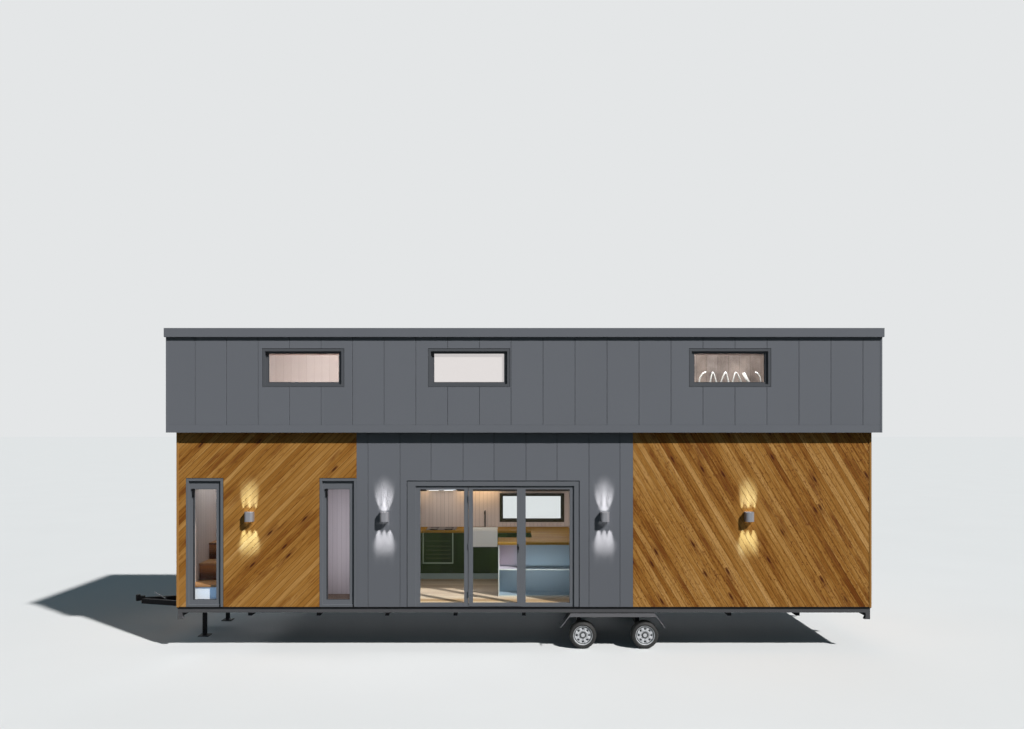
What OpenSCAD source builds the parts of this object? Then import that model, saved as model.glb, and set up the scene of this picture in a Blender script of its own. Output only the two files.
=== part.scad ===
// Tiny house on wheels: a long trailer house with a loft storey and a flat roof.
// Front faces -Y, the drawbar points to -X, +Z is up.
// The origin lies on the ground, in the middle of the whole outline.

/* [House body] */
// Length of the lower storey over its cladding
body_length = 11020; // [10400:20:11600]
// Width of the lower storey over its cladding
body_width = 2900; // [2800:10:3100]
// Thickness of a framed wall with its lining
wall_t = 100; // [80:5:120]
// Thickness of the outer boards and panels
cladding_t = 25; // [18:1:32]
// Gap between the chassis rail and the cladding above it
cladding_gap = 8; // [4:1:12]
// Top of the floor above the ground
floor_top = 720; // [700:5:735]
// Height of the underside of the loft storey
loft_bottom = 3450; // [3300:10:3600]
// Thickness of the loft floor, seen as a plain band outside
loft_floor_t = 120; // [100:5:140]
// Height of the loft walls
loft_height = 1380; // [1300:10:1460]
// How far the loft storey reaches out past the lower storey
overhang = 120; // [100:5:160]
// Height of the roof cap
cap_height = 140; // [120:5:180]
// How far the roof cap reaches past the loft storey in front and behind
cap_lip_front = 40; // [30:5:60]
// How far the roof cap reaches past the loft storey at the ends
cap_lip_end = 20; // [10:5:40]
// Thickness of the roof cap's sheet
cap_sheet_t = 30; // [20:1:40]

/* [Front openings] */
// Left edge of the door unit, from the middle of the body
door_left = -1852; // [-1900:1:-1800]
// Right edge of the door unit, from the middle of the body
door_right = 871; // [820:1:920]
// Top of the door unit above the ground
door_top = 2675; // [2640:1:2700]
// Width of the door frame's left post
door_post_left = 130; // [110:1:150]
// Width of the door frame's right post and head
door_post_right = 73; // [60:1:90]
// Height of the threshold
threshold_h = 15; // [10:1:20]
// Width of the stiles and rails of the door leaf and sidelights
stile_w = 70; // [60:1:80]
// Height of the rails of the door leaf and sidelights
rail_w = 55; // [48:1:64]
// Thickness of the door leaf and sidelights
leaf_t = 50; // [40:1:56]
// Running gap around the door leaf
leaf_gap = 5; // [5:0.5:8]
// Middle of the left tall window, from the middle of the body
tall_window_a_x = -5072; // [-5100:1:-5060]
// Middle of the right tall window, from the middle of the body
tall_window_b_x = -2951; // [-2990:1:-2920]
// Width of the tall windows
tall_window_w = 586; // [560:1:600]
// Top of the tall windows above the ground
tall_window_top = 2721; // [2690:1:2740]
// Middles of the loft windows, from the middle of the body
loft_window_a_x = -3475; // [-3600:5:-3300]
// Middle of the second loft window
loft_window_b_x = -866; // [-1000:1:-700]
// Middle of the third loft window
loft_window_c_x = 3239; // [3100:1:3400]
// Width of the loft windows
loft_window_w = 1280; // [1200:10:1360]
// Height of the loft windows
loft_window_h = 597; // [560:1:640]
// Sill height of the loft windows above the ground
loft_window_sill = 4172; // [4120:1:4200]
// Width of a window's outer trim
trim_w = 40; // [35:1:50]
// Width of a loft window's sash at the sides of its glass
sash_w = 45; // [38:1:52]
// Height of a loft window's sash above and below its glass
loft_sash_h = 30; // [25:1:38]
// Width of a tall window's sash at the sides of and below its glass
tall_sash_w = 75; // [68:1:82]
// Height of a tall window's sash above its glass
tall_sash_head = 130; // [110:5:150]
// Width of the kitchen window's sash
kitchen_sash_w = 20; // [16:1:30]
// How far a sash stands back from the cladding
sash_recess = 30; // [24:1:45]
// Thickness of the window glass
glass_t = 14; // [8:1:20]
// Middle of the kitchen window in the back wall
kitchen_window_x = 195; // [100:5:300]
// Width of the kitchen window
kitchen_window_w = 1250; // [1150:10:1350]
// Height of the kitchen window
kitchen_window_h = 560; // [500:5:620]
// Sill height of the kitchen window above the ground
kitchen_window_sill = 1710; // [1690:5:1760]
// Where the left timber field ends, from the middle of the body
timber_left_end = -2658; // [-2658:1:-2600]
// Where the right timber field starts, from the middle of the body
timber_right_start = 1730; // [1650:5:1800]

/* [Trailer] */
// Underside of the chassis edge rail above the ground
rail_bottom = 590; // [580:1:600]
// Height of the chassis edge rail
rail_h = 77; // [70:1:85]
// How far the edge rail stands back from the cladding
rail_recess = 10; // [5:1:20]
// Height of the main beams
beam_h = 100; // [80:5:120]
// Width of the main beams
beam_w = 60; // [50:5:80]
// Distance of the main beams from the middle of the trailer
beam_y = 550; // [520:5:600]
// Height of the crossmembers on the main beams
cross_h = 65; // [60:1:70]
// Width of the crossmembers
cross_w = 60; // [50:5:80]
// Number of crossmembers
cross_count = 11; // [10:1:13]
// Height of a corner bracket below the edge rail
bracket_h = 105; // [80:5:130]
// Width of a corner bracket
bracket_w = 70; // [60:5:90]
// How far a corner bracket's foot flares out
bracket_flare = 20; // [10:5:30]
// Reach of the coupling in front of the body
drawbar_reach = 1330; // [1250:10:1420]
// Height of the drawbar's beams
drawbar_h = 85; // [75:1:95]
// Width of the drawbar's beams
drawbar_w = 60; // [50:1:70]
// Distance of a drawbar beam from the middle line at its rear end
drawbar_rear_y = 470; // [440:5:475]
// Distance of a drawbar beam from the middle line at the coupling
drawbar_front_y = 60; // [55:1:80]
// How far the drawbar's beams reach back under the body
drawbar_lap = 310; // [250:10:400]
// Distance of the lever's plate in front of the body
plate_setback = 600; // [550:10:650]
// Length of the lever's plate
plate_length = 250; // [220:10:280]
// Thickness of the lever's plate
plate_t = 8; // [6:1:12]
// Length of the coupling head
head_length = 150; // [130:5:170]
// Radius of the coupling head
head_r = 40; // [38:1:46]
// Underside of the coupling head above the ground
head_bottom = 474; // [470:1:480]
// Top of the coupling head above the ground
head_top = 580; // [560:5:600]
// Radius of the coupling's ball socket
socket_r = 25.2; // [25:0.1:25.5]
// Depth of the coupling's ball socket
socket_depth = 40; // [35:1:45]
// Side of the nose legs
nose_leg_w = 60; // [50:5:80]
// Thickness of the nose legs' foot plates
foot_t = 12; // [8:1:16]
// Reach of the brake lever in front of its pivot
lever_reach = 210; // [190:2:230]
// Rise of the brake lever's grip over its pivot
lever_rise = 128; // [110:2:140]
// Thickness of the brake lever's bar
lever_bar = 16; // [12:1:20]

/* [Wheels] */
// Radius of a tyre
tyre_r = 215; // [205:1:220]
// Width of a tyre
tyre_w = 185; // [165:5:195]
// Radius of a rim
rim_r = 153; // [140:1:158]
// Fore axle, from the middle of the body
axle_fore_x = 941; // [900:1:960]
// Aft axle, from the middle of the body
axle_aft_x = 1933; // [1900:1:1960]
// How far a tyre stands back from the cladding
tyre_recess = 45; // [30:1:60]
// Radius of an axle's stub
stub_r = 20; // [16:1:24]
// Radial clearance of a hub on its stub
stub_clearance = 0.05; // [0.02:0.01:0.08]
// Height of the mudguard's flat top above the ground
guard_top = 575; // [560:1:580]
// Height of the mudguard's front lip
guard_lip = 55; // [45:1:65]
// Thickness of the mudguard's sheet
guard_t = 5; // [4:1:8]
// Width of the mudguard
guard_w = 260; // [240:5:280]
// How far the mudguard's middle lies ahead of the middle between the axles
guard_lead = 27; // [0:1:40]
// Length of the mudguard's flat top
guard_flat_l = 1340; // [1300:10:1380]
// Length of the mudguard's slopes
guard_slope_l = 165; // [150:5:180]
// Lower end of the mudguard's slopes above the ground
guard_end_z = 350; // [330:5:370]
// Radius of a rim's hub
hub_r = 48; // [44:1:54]
// Radius of the holes in a rim's disc
rim_hole_r = 17; // [14:1:20]
// Number of holes in a rim's disc
rim_hole_count = 8; // [6:1:10]

/* [Door fittings] */
// Radius of the hinge knuckles
knuckle_r = 9; // [8:0.5:12]
// Height of the middle knuckle of each hinge
knuckle_h = 40; // [30:2:50]
// Radius of the hinge pins
hinge_pin_r = 5; // [4:0.5:6]
// Distance of the outer hinges from the ends of the door leaf
hinge_inset = 200; // [150:10:250]
// Height of the middle of the door handle above the ground
handle_z = 1611; // [1550:1:1700]
// Length of the door handle
handle_l = 140; // [120:5:200]
// Thickness of the door handle's bar
handle_grip = 14; // [12:1:18]
// How far the door handle stands off the leaf
handle_reach = 40; // [35:1:50]

/* [Wall lamps] */
// Middles of the wall lamps, from the middle of the body
lamp_a_x = -4350; // [-4450:5:-4290]
// Middle of the second lamp
lamp_b_x = -2210; // [-2300:5:-2150]
// Middle of the third lamp
lamp_c_x = 1280; // [1180:5:1340]
// Middle of the fourth lamp
lamp_d_x = 3565; // [3480:5:3630]
// Width of a wall lamp
lamp_w = 140; // [125:5:150]
// Depth of a wall lamp
lamp_depth = 105; // [85:5:120]
// Height of a wall lamp
lamp_h = 150; // [130:2:180]
// Radius of a wall lamp's front corners
lamp_corner_r = 52; // [20:1:52]
// Middle of the wall lamps above the ground
lamp_z = 2118; // [2050:1:2200]

/* [Inside] */
// Height of the worktop above the floor
bench_h = 900; // [860:5:940]
// Thickness of the worktop
worktop_t = 40; // [30:1:50]
// Depth of the back bench
bench_depth = 600; // [580:5:640]
// Left end of the back bench, from the middle of the body
bench_left = -1950; // [-2000:5:-1900]
// Right end of the kitchen, from the middle of the body
bench_right = 900; // [860:5:1000]
// Left edge of the bar's worktop, from the middle of the body
bar_left = -430; // [-460:5:-400]
// Left edge of the worktop between the bar and the back bench
return_left = 160; // [100:5:220]
// Front edge of the bar, from the middle of the body
bar_front = -850; // [-900:5:-800]
// Depth of the bar's worktop
bar_depth = 640; // [600:5:680]
// Depth of the bar's open shelves
shelf_depth = 300; // [260:5:340]
// Underside of the bar's middle shelf above the floor
shelf_rise = 437; // [380:1:480]
// Thickness of the shelf boards and panels
board_t = 20; // [16:1:24]
// Left edge of the sink, from the middle of the body
sink_left = -960; // [-1000:5:-920]
// Width of the sink
sink_w = 500; // [460:5:520]
// Height of the sink's apron
sink_h = 300; // [260:5:320]
// How far the sink's apron stands out in front of the bench
sink_apron = 15; // [10:1:25]
// Distance of the sink from the back wall's lining
sink_setback = 60; // [50:5:90]
// Wall thickness of the sink
sink_t = 18; // [14:1:24]
// Height of the tap above the worktop
tap_h = 320; // [260:5:360]
// Middle of the range hood, from the middle of the body
hood_x = -1520; // [-1560:5:-1480]
// Width of the range hood
hood_w = 560; // [500:10:600]
// Depth of the range hood
hood_depth = 480; // [420:10:540]
// Height of the range hood's lower edge over the worktop
hood_rise = 740; // [680:10:800]
// Underside of the shelf over the back bench, above the worktop
over_shelf_rise = 715; // [680:5:760]
// Depth of the shelf over the back bench
over_shelf_depth = 345; // [300:5:380]
// Thickness of the shelf over the back bench
over_shelf_t = 65; // [50:5:80]
// Gap between this shelf and the range hood
over_shelf_gap = 5; // [3:1:10]
// Width of the stair
stair_w = 900; // [850:10:950]
// Distance of the lowest step from the front wall's lining
stair_setback = 35; // [25:5:60]
// Rise of each step of the lower flight
lower_rise = 280; // [270:2:290]
// Going of each step of the lower flight
lower_going = 430; // [400:5:450]
// Number of steps of the lower flight
lower_steps = 5; // [5:1:5]
// Going of each step of the upper flight
upper_going = 250; // [230:5:260]
// Number of steps of the upper flight
upper_steps = 5; // [5:1:5]
// Width of the upper flight
upper_flight_w = 650; // [600:10:700]
// Distance of the partition from the front of the body
partition_setback = 820; // [780:5:880]
// Thickness of the partition
partition_t = 70; // [60:5:90]
// Right end of the partition, from the middle of the body
partition_right = -2060; // [-2100:5:-2040]

/* [Hidden] */
$fn = 48;

grey = [0.39, 0.40, 0.42];
dark_grey = [0.30, 0.30, 0.32];
black_steel = [0.10, 0.10, 0.11];
timber = [0.62, 0.42, 0.22];
glass_colour = [0.75, 0.80, 0.82, 0.4];

// Places worked out from the sizes above, x counted from the middle of the body
nose_x = body_length / 2 + drawbar_reach;
tail_x = body_length / 2 + overhang + cap_lip_end;
body_x = (nose_x - tail_x) / 2;
rail_top = rail_bottom + rail_h;
clad_bottom = rail_top + cladding_gap;
half_l = body_length / 2;
half_w = body_width / 2;
core_l = half_l - cladding_t;
core_w = half_w - cladding_t;
room_l = core_l - wall_t;
room_w = core_w - wall_t;
loft_l = half_l + overhang;
loft_w = half_w + overhang;
loft_core_l = loft_l - cladding_t;
loft_core_w = loft_w - cladding_t;
loft_room_l = loft_core_l - wall_t;
loft_room_w = loft_core_w - wall_t;
loft_top = loft_bottom + loft_floor_t;
roof_bottom = loft_top + loft_height;
roof_top = roof_bottom + cap_height;
past = 20;

// Draws its children in body coordinates
module in_body() {
    translate([body_x, 0, 0])
        children();
}

// A box given by its two corners
module box(low, high) {
    translate(low)
        cube(high - low);
}

/* Trailer */
beam_top = rail_bottom - cross_h;
beam_bottom = beam_top - beam_h;
rail_outer_w = half_w - rail_recess;
rail_outer_l = half_l - rail_recess;

module main_beams() {
    color(black_steel)
        in_body()
        for (side = [-1, 1])
            box([-rail_outer_l, side * beam_y - beam_w / 2, beam_bottom],
                [rail_outer_l, side * beam_y + beam_w / 2, beam_top]);
}

cross_pitch = (2 * rail_outer_l - cross_w) / (cross_count - 1);
guard_gap = 20;

// Crossmembers stop short of the corner brackets, and of the mudguards over the wheels
function over_wheels(x) = x + cross_w > guard_fore_x - guard_gap && x < guard_aft_x + guard_gap;
function cross_reach(x) = over_wheels(x) ? half_w - guard_w - guard_gap : rail_outer_w - bracket_w;

module crossmembers() {
    color(black_steel)
        in_body()
        for (i = [0 : cross_count - 1])
            let (x = -rail_outer_l + i * cross_pitch)
                translate([x, -cross_reach(x), beam_top])
                cube([cross_w, 2 * cross_reach(x), cross_h]);
}

module side_rails() {
    color(dark_grey)
        in_body()
        for (side = [-1, 1])
            translate([0, side * (rail_outer_w + room_w) / 2, rail_bottom + rail_h / 2])
                cube([2 * rail_outer_l, rail_outer_w - room_w, rail_h], center = true);
}

module end_rails() {
    color(dark_grey)
        in_body()
        for (side = [-1, 1])
            translate([side * (rail_outer_l + room_l) / 2, 0, rail_bottom + rail_h / 2])
                cube([rail_outer_l - room_l, 2 * room_w, rail_h], center = true);
}

// A short bracket that hangs at each corner and flares towards its foot
module corner_brackets() {
    color(dark_grey)
        in_body()
        for (end = [-1, 1], side = [-1, 1])
            at_corner(end, side)
                translate([rail_outer_l, rail_outer_w, rail_bottom - bracket_h])
                rotate([90, 0, 0])
                linear_extrude(bracket_w)
                polygon([
                    [0, 0],
                    [-bracket_w - bracket_flare, 0],
                    [-bracket_w, 2 * bracket_flare],
                    [-bracket_w, bracket_h],
                    [0, bracket_h]
                ]);
}

// Mirrors its children into one of the four corners
module at_corner(end, side) {
    mirror([end < 0 ? 1 : 0, 0, 0])
        mirror([0, side < 0 ? 1 : 0, 0])
        children();
}

drawbar_top = beam_top;
drawbar_bottom = drawbar_top - drawbar_h;
drawbar_rear_x = -half_l + drawbar_lap;
head_back_x = -nose_x + head_length;
plate_back_x = -half_l - plate_setback;
plate_front_x = plate_back_x - plate_length;

// How far the middle of a drawbar beam lies from the middle line at a given x
function drawbar_y(x) = drawbar_front_y + (drawbar_rear_y - drawbar_front_y)
    * (x - head_back_x) / (drawbar_rear_x - head_back_x);

module drawbar() {
    color(black_steel)
        in_body() {
            for (side = [-1, 1])
                translate([0, 0, drawbar_bottom])
                    linear_extrude(drawbar_h)
                    polygon([
                        [head_back_x, side * (drawbar_front_y - drawbar_w / 2)],
                        [drawbar_rear_x, side * (drawbar_rear_y - drawbar_w / 2)],
                        [drawbar_rear_x, side * (drawbar_rear_y + drawbar_w / 2)],
                        [head_back_x, side * (drawbar_front_y + drawbar_w / 2)]
                    ]);
            translate([0, 0, drawbar_bottom])
                linear_extrude(plate_t)
                polygon([
                    [plate_front_x, -drawbar_y(plate_front_x)],
                    [plate_back_x, -drawbar_y(plate_back_x)],
                    [plate_back_x, drawbar_y(plate_back_x)],
                    [plate_front_x, drawbar_y(plate_front_x)]
                ]);
            lever_bracket();
        }
}

socket_x = -nose_x + head_r;
head_neck_w = head_r - 5;
head_step = 10;
head_flange_t = 12;

module coupling_head() {
    color(black_steel)
        in_body()
        difference() {
            union() {
                translate([socket_x, 0, head_bottom])
                    cylinder(r = head_r, h = head_top - head_bottom, $fn = 64);
                box([socket_x, -head_neck_w, head_bottom + head_step],
                    [head_back_x, head_neck_w, head_top - 2 * head_step]);
                box([head_back_x - head_flange_t, -drawbar_front_y - drawbar_w / 2, drawbar_bottom],
                    [head_back_x, drawbar_front_y + drawbar_w / 2, drawbar_top]);
            }
            translate([socket_x, 0, head_bottom - past])
                cylinder(r = socket_r, h = socket_depth + past, $fn = 64);
        }
}

// Two legs under the nose of the main beams hold the house level
module nose_legs() {
    foot_w = 3 * nose_leg_w;
    color(black_steel)
        in_body()
        for (side = [-1, 1])
            translate([-rail_outer_l + foot_w / 2, side * beam_y, 0]) {
                translate([0, 0, foot_t / 2])
                    cube([foot_w, foot_w, foot_t], center = true);
                translate([-nose_leg_w / 2, -nose_leg_w / 2, 0])
                    cube([nose_leg_w, nose_leg_w, beam_bottom]);
            }
}

cheek_w = 40;
cheek_t = 6;
cheek_gap = lever_bar + 2;
lever_pin_r = 6;
lever_clearance = 0.05;
lever_pivot_x = plate_front_x + 1.5 * cheek_w;
lever_pivot_z = drawbar_bottom + plate_t + 1.25 * cheek_w;

// Two cheeks on the drawbar's plate carry the brake lever's pin
module lever_bracket() {
    for (side = [-1, 1])
        difference() {
            translate([lever_pivot_x, side * (cheek_gap + cheek_t) / 2, 0])
                box([-cheek_w / 2, -cheek_t / 2, drawbar_bottom],
                    [cheek_w / 2, cheek_t / 2, lever_pivot_z + cheek_w / 2]);
            translate([lever_pivot_x, 0, lever_pivot_z])
                rotate([90, 0, 0])
                cylinder(r = lever_pin_r, h = 2 * (cheek_gap + cheek_t), center = true, $fn = 32);
        }
}

// The hand brake's lever: a bar that slopes up to its grip, with its own pin
module brake_lever() {
    length = norm([lever_reach, lever_rise]);
    color(dark_grey)
        in_body()
        translate([lever_pivot_x, 0, lever_pivot_z]) {
            rotate([0, atan2(lever_rise, lever_reach), 0])
                translate([-length, -lever_bar / 2, -lever_bar / 2])
                cube([length, lever_bar, lever_bar]);
            rotate([90, 0, 0])
                cylinder(r = lever_pin_r - lever_clearance, h = cheek_gap + 2 * cheek_t,
                    center = true, $fn = 32);
        }
}

guard_mid_x = (axle_fore_x + axle_aft_x) / 2 - guard_lead;
guard_flat_fore_x = guard_mid_x - guard_flat_l / 2;
guard_flat_aft_x = guard_mid_x + guard_flat_l / 2;
guard_fore_x = guard_flat_fore_x - guard_slope_l;
guard_aft_x = guard_flat_aft_x + guard_slope_l;
// Sheet thickness along the level, and its setback at the bends, for a slope this steep
guard_end_cut = 1.25;
guard_bend_cut = 0.4;

// The folded sheet of a mudguard, drawn in x and z
module guard_profile() {
    polygon([
        [guard_fore_x, guard_end_z],
        [guard_flat_fore_x, guard_top],
        [guard_flat_aft_x, guard_top],
        [guard_aft_x, guard_end_z],
        [guard_aft_x - guard_t * guard_end_cut, guard_end_z],
        [guard_flat_aft_x - guard_t * guard_bend_cut, guard_top - guard_t],
        [guard_flat_fore_x + guard_t * guard_bend_cut, guard_top - guard_t],
        [guard_fore_x + guard_t * guard_end_cut, guard_end_z]
    ]);
}

hanger_w = 60;
hanger_inset = 150;
hanger_setback = 40;

module mudguards() {
    color(grey)
        in_body()
        for (side = [-1, 1])
            mirror([0, side > 0 ? 1 : 0, 0]) {
                translate([0, -half_w + guard_w, 0])
                    rotate([90, 0, 0])
                    linear_extrude(guard_w)
                    guard_profile();
                translate([0, -half_w + guard_t, 0])
                    rotate([90, 0, 0])
                    linear_extrude(guard_t)
                    guard_lip_profile();
                for (x = [guard_flat_fore_x + hanger_inset, guard_flat_aft_x - hanger_inset])
                    translate([x - hanger_w / 2, -half_w + hanger_setback, guard_top - guard_t])
                        cube([hanger_w, hanger_w, rail_bottom - guard_top + guard_t]);
            }
}

// The lip hangs down from the flat top and narrows along the slopes
module guard_lip_profile() {
    slope_lip = 14;
    lip_corner = 20;
    polygon([
        [guard_fore_x, guard_end_z],
        [guard_flat_fore_x, guard_top],
        [guard_flat_aft_x, guard_top],
        [guard_aft_x, guard_end_z],
        [guard_aft_x - slope_lip * guard_end_cut, guard_end_z],
        [guard_flat_aft_x + lip_corner, guard_top - guard_lip],
        [guard_flat_fore_x - lip_corner, guard_top - guard_lip],
        [guard_fore_x + slope_lip * guard_end_cut, guard_end_z]
    ]);
}

/* Wheels */
tyre_outer = half_w - tyre_recess;
tyre_inner = tyre_outer - tyre_w;
axle_z = tyre_r;
hub_outer_setback = 20;
hub_inner_setback = 10;
hub_outer = tyre_outer - hub_outer_setback;
hub_inner = tyre_inner + hub_inner_setback;
hub_cap_t = 10;
stub_end_gap = 2;
stub_end = hub_outer - hub_cap_t - stub_end_gap;
tube_r = 32;
tube_gap = 5;

// One axle: a round tube, its stubs, and the arms that hang it from the main beams
module axle(x) {
    arm_w = 70;
    translate([x, 0, axle_z])
        rotate([90, 0, 0])
        cylinder(r = tube_r, h = 2 * (hub_inner - tube_gap), center = true);
    translate([x, 0, axle_z])
        rotate([90, 0, 0])
        cylinder(r = stub_r, h = 2 * stub_end, center = true, $fn = 64);
    for (side = [-1, 1])
        translate([x - arm_w / 2, side * beam_y - beam_w / 2, axle_z])
            cube([arm_w, beam_w, beam_bottom - axle_z]);
}

module axles() {
    color(black_steel)
        in_body()
        for (x = [axle_fore_x, axle_aft_x])
            axle(x);
}

// Puts a wheel, drawn with its outer face to +Z at the origin, at its hub
module at_wheel(x, side) {
    in_body()
        translate([x, side * tyre_outer, axle_z])
        rotate([side < 0 ? 90 : -90, 0, 0])
        children();
}

module tyre() {
    shoulder = 18;
    bead = 8;
    wall = tyre_r - rim_r;
    color([0.05, 0.05, 0.05])
        rotate_extrude($fn = 96)
        polygon([
            [rim_r, -bead],
            [rim_r + wall * 0.45, 0],
            [tyre_r - shoulder, -4],
            [tyre_r - 5, -shoulder * 0.6],
            [tyre_r, -shoulder * 1.5],
            [tyre_r, -tyre_w + shoulder * 1.5],
            [tyre_r - 5, -tyre_w + shoulder * 0.6],
            [tyre_r - shoulder, -tyre_w + 4],
            [rim_r + wall * 0.45, -tyre_w],
            [rim_r, -tyre_w + bead]
        ]);
}

module rim() {
    barrel_t = 7;
    disc_t = 10;
    disc_z = -28;
    barrel_setback = 12;
    hole_circle = (rim_r + hub_r) / 2;
    color([0.75, 0.76, 0.78])
        difference() {
            union() {
                difference() {
                    translate([0, 0, -tyre_w + barrel_setback])
                        cylinder(r = rim_r, h = tyre_w - 2 * barrel_setback, $fn = 96);
                    translate([0, 0, -tyre_w])
                        cylinder(r = rim_r - barrel_t, h = 2 * tyre_w, $fn = 96);
                }
                translate([0, 0, disc_z - disc_t])
                    cylinder(r = rim_r - barrel_t + 1, h = disc_t, $fn = 96);
                translate([0, 0, -tyre_w + hub_inner_setback])
                    cylinder(r = hub_r, h = hub_outer - hub_inner, $fn = 64);
            }
            translate([0, 0, -tyre_w - past])
                cylinder(r = stub_r + stub_clearance, $fn = 64,
                    h = tyre_w + past - hub_outer_setback - hub_cap_t);
            for (i = [0 : rim_hole_count - 1])
                rotate(i * 360 / rim_hole_count)
                    translate([hole_circle, 0, disc_z - disc_t - past])
                    cylinder(r = rim_hole_r, h = disc_t + 2 * past, $fn = 32);
        }
}

/* Lower storey */
module floor_deck() {
    color([0.72, 0.60, 0.45])
        in_body()
        box([-room_l, -room_w, rail_bottom], [room_l, room_w, floor_top]);
}

tall_x = [tall_window_a_x, tall_window_b_x];
loft_x = [loft_window_a_x, loft_window_b_x, loft_window_c_x];

module tall_openings() {
    for (x = tall_x)
        translate([x - tall_window_w / 2, -half_w - past, clad_bottom])
            cube([tall_window_w, cladding_t + wall_t + 2 * past, tall_window_top - clad_bottom]);
}

module front_wall_left() {
    color("white")
        in_body()
        difference() {
            box([-core_l, -core_w, rail_top], [door_left, -room_w, loft_bottom]);
            tall_openings();
        }
}

module front_wall_over_door() {
    color("white")
        in_body()
        box([door_left, -core_w, door_top], [door_right, -room_w, loft_bottom]);
}

module front_wall_right() {
    color("white")
        in_body()
        box([door_right, -core_w, rail_top], [core_l, -room_w, loft_bottom]);
}

kitchen_window = [
    kitchen_window_x - kitchen_window_w / 2,
    kitchen_window_x + kitchen_window_w / 2,
    kitchen_window_sill,
    kitchen_window_sill + kitchen_window_h
];

module kitchen_opening() {
    box([kitchen_window[0], room_w - past, kitchen_window[2]],
        [kitchen_window[1], half_w + past, kitchen_window[3]]);
}

module back_wall() {
    color("white")
        in_body()
        difference() {
            box([-core_l, room_w, rail_top], [core_l, core_w, loft_bottom]);
            kitchen_opening();
        }
}

module end_walls() {
    color("white")
        in_body()
        for (side = [-1, 1])
            translate([side * (core_l + room_l) / 2, 0, (rail_top + loft_bottom) / 2])
                cube([wall_t, 2 * room_w, loft_bottom - rail_top], center = true);
}

// A strip of front cladding between two edges
module front_cladding(x0, x1) {
    box([x0, -half_w, clad_bottom], [x1, -core_w, loft_bottom]);
}

module timber_left() {
    color(timber)
        in_body()
        difference() {
            front_cladding(-half_l, timber_left_end);
            tall_openings();
        }
}

module timber_right() {
    color(timber)
        in_body()
        front_cladding(timber_right_start, half_l);
}

module panels_centre() {
    color(grey)
        in_body()
        difference() {
            front_cladding(timber_left_end, timber_right_start);
            box([door_left, -half_w - past, clad_bottom - past], [door_right, 0, door_top]);
        }
}

module timber_back() {
    color(timber)
        in_body() {
            box([-half_l, core_w, clad_bottom], [timber_left_end, half_w, loft_bottom]);
            box([timber_right_start, core_w, clad_bottom], [half_l, half_w, loft_bottom]);
        }
}

module panels_back() {
    color(grey)
        in_body()
        difference() {
            box([timber_left_end, core_w, clad_bottom], [timber_right_start, half_w, loft_bottom]);
            kitchen_opening();
        }
}

module timber_ends() {
    color(timber)
        in_body()
        for (side = [-1, 1])
            translate([side * (half_l + core_l) / 2, 0, (clad_bottom + loft_bottom) / 2])
                cube([cladding_t, 2 * core_w, loft_bottom - clad_bottom], center = true);
}

/* Loft storey */
stair_gap = 10;
lower_start = -room_w + stair_setback;
well_front = room_w - upper_flight_w - stair_gap;
well_right = -room_l + stair_w + upper_steps * upper_going + stair_gap;
headroom_front = lower_start + (lower_steps - 2) * lower_going;

module loft_floor() {
    color(grey)
        in_body()
        difference() {
            box([-loft_l, -loft_w, loft_bottom], [loft_l, loft_w, loft_top]);
            box([-room_l, well_front, loft_bottom - past], [well_right, room_w, loft_top + past]);
            box([-room_l, headroom_front, loft_bottom - past],
                [-room_l + stair_w + stair_gap, room_w, loft_top + past]);
        }
}

module loft_openings() {
    for (x = loft_x)
        translate([x - loft_window_w / 2, -loft_w - past, loft_window_sill])
            cube([loft_window_w, cladding_t + wall_t + 2 * past, loft_window_h]);
}

module loft_wall_front() {
    color("white")
        in_body()
        difference() {
            box([-loft_core_l, -loft_core_w, loft_top], [loft_core_l, -loft_room_w, roof_bottom]);
            loft_openings();
        }
}

module loft_wall_back() {
    color("white")
        in_body()
        box([-loft_core_l, loft_room_w, loft_top], [loft_core_l, loft_core_w, roof_bottom]);
}

module loft_walls_end() {
    color("white")
        in_body()
        for (side = [-1, 1])
            translate([side * (loft_core_l + loft_room_l) / 2, 0, (loft_top + roof_bottom) / 2])
                cube([wall_t, 2 * loft_room_w, loft_height], center = true);
}

module loft_panels_front() {
    color(grey)
        in_body()
        difference() {
            box([-loft_l, -loft_w, loft_top], [loft_l, -loft_core_w, roof_bottom]);
            loft_openings();
        }
}

module loft_panels_back() {
    color(grey)
        in_body()
        box([-loft_l, loft_core_w, loft_top], [loft_l, loft_w, roof_bottom]);
}

module loft_panels_end() {
    color(grey)
        in_body()
        for (side = [-1, 1])
            translate([side * (loft_l + loft_core_l) / 2, 0, (loft_top + roof_bottom) / 2])
                cube([cladding_t, 2 * loft_core_w, loft_height], center = true);
}

module roof_deck() {
    color("white")
        in_body()
        box([-loft_l, -loft_w, roof_bottom], [loft_l, loft_w, roof_top - cap_sheet_t]);
}

module roof_cap() {
    cap_l = loft_l + cap_lip_end;
    cap_w = loft_w + cap_lip_front;
    color(grey)
        in_body()
        difference() {
            box([-cap_l, -cap_w, roof_bottom], [cap_l, cap_w, roof_top]);
            box([-loft_l, -loft_w, roof_bottom - past], [loft_l, loft_w, roof_top - cap_sheet_t]);
        }
}

/* Windows and door */
pane_setback = 18;

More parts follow.
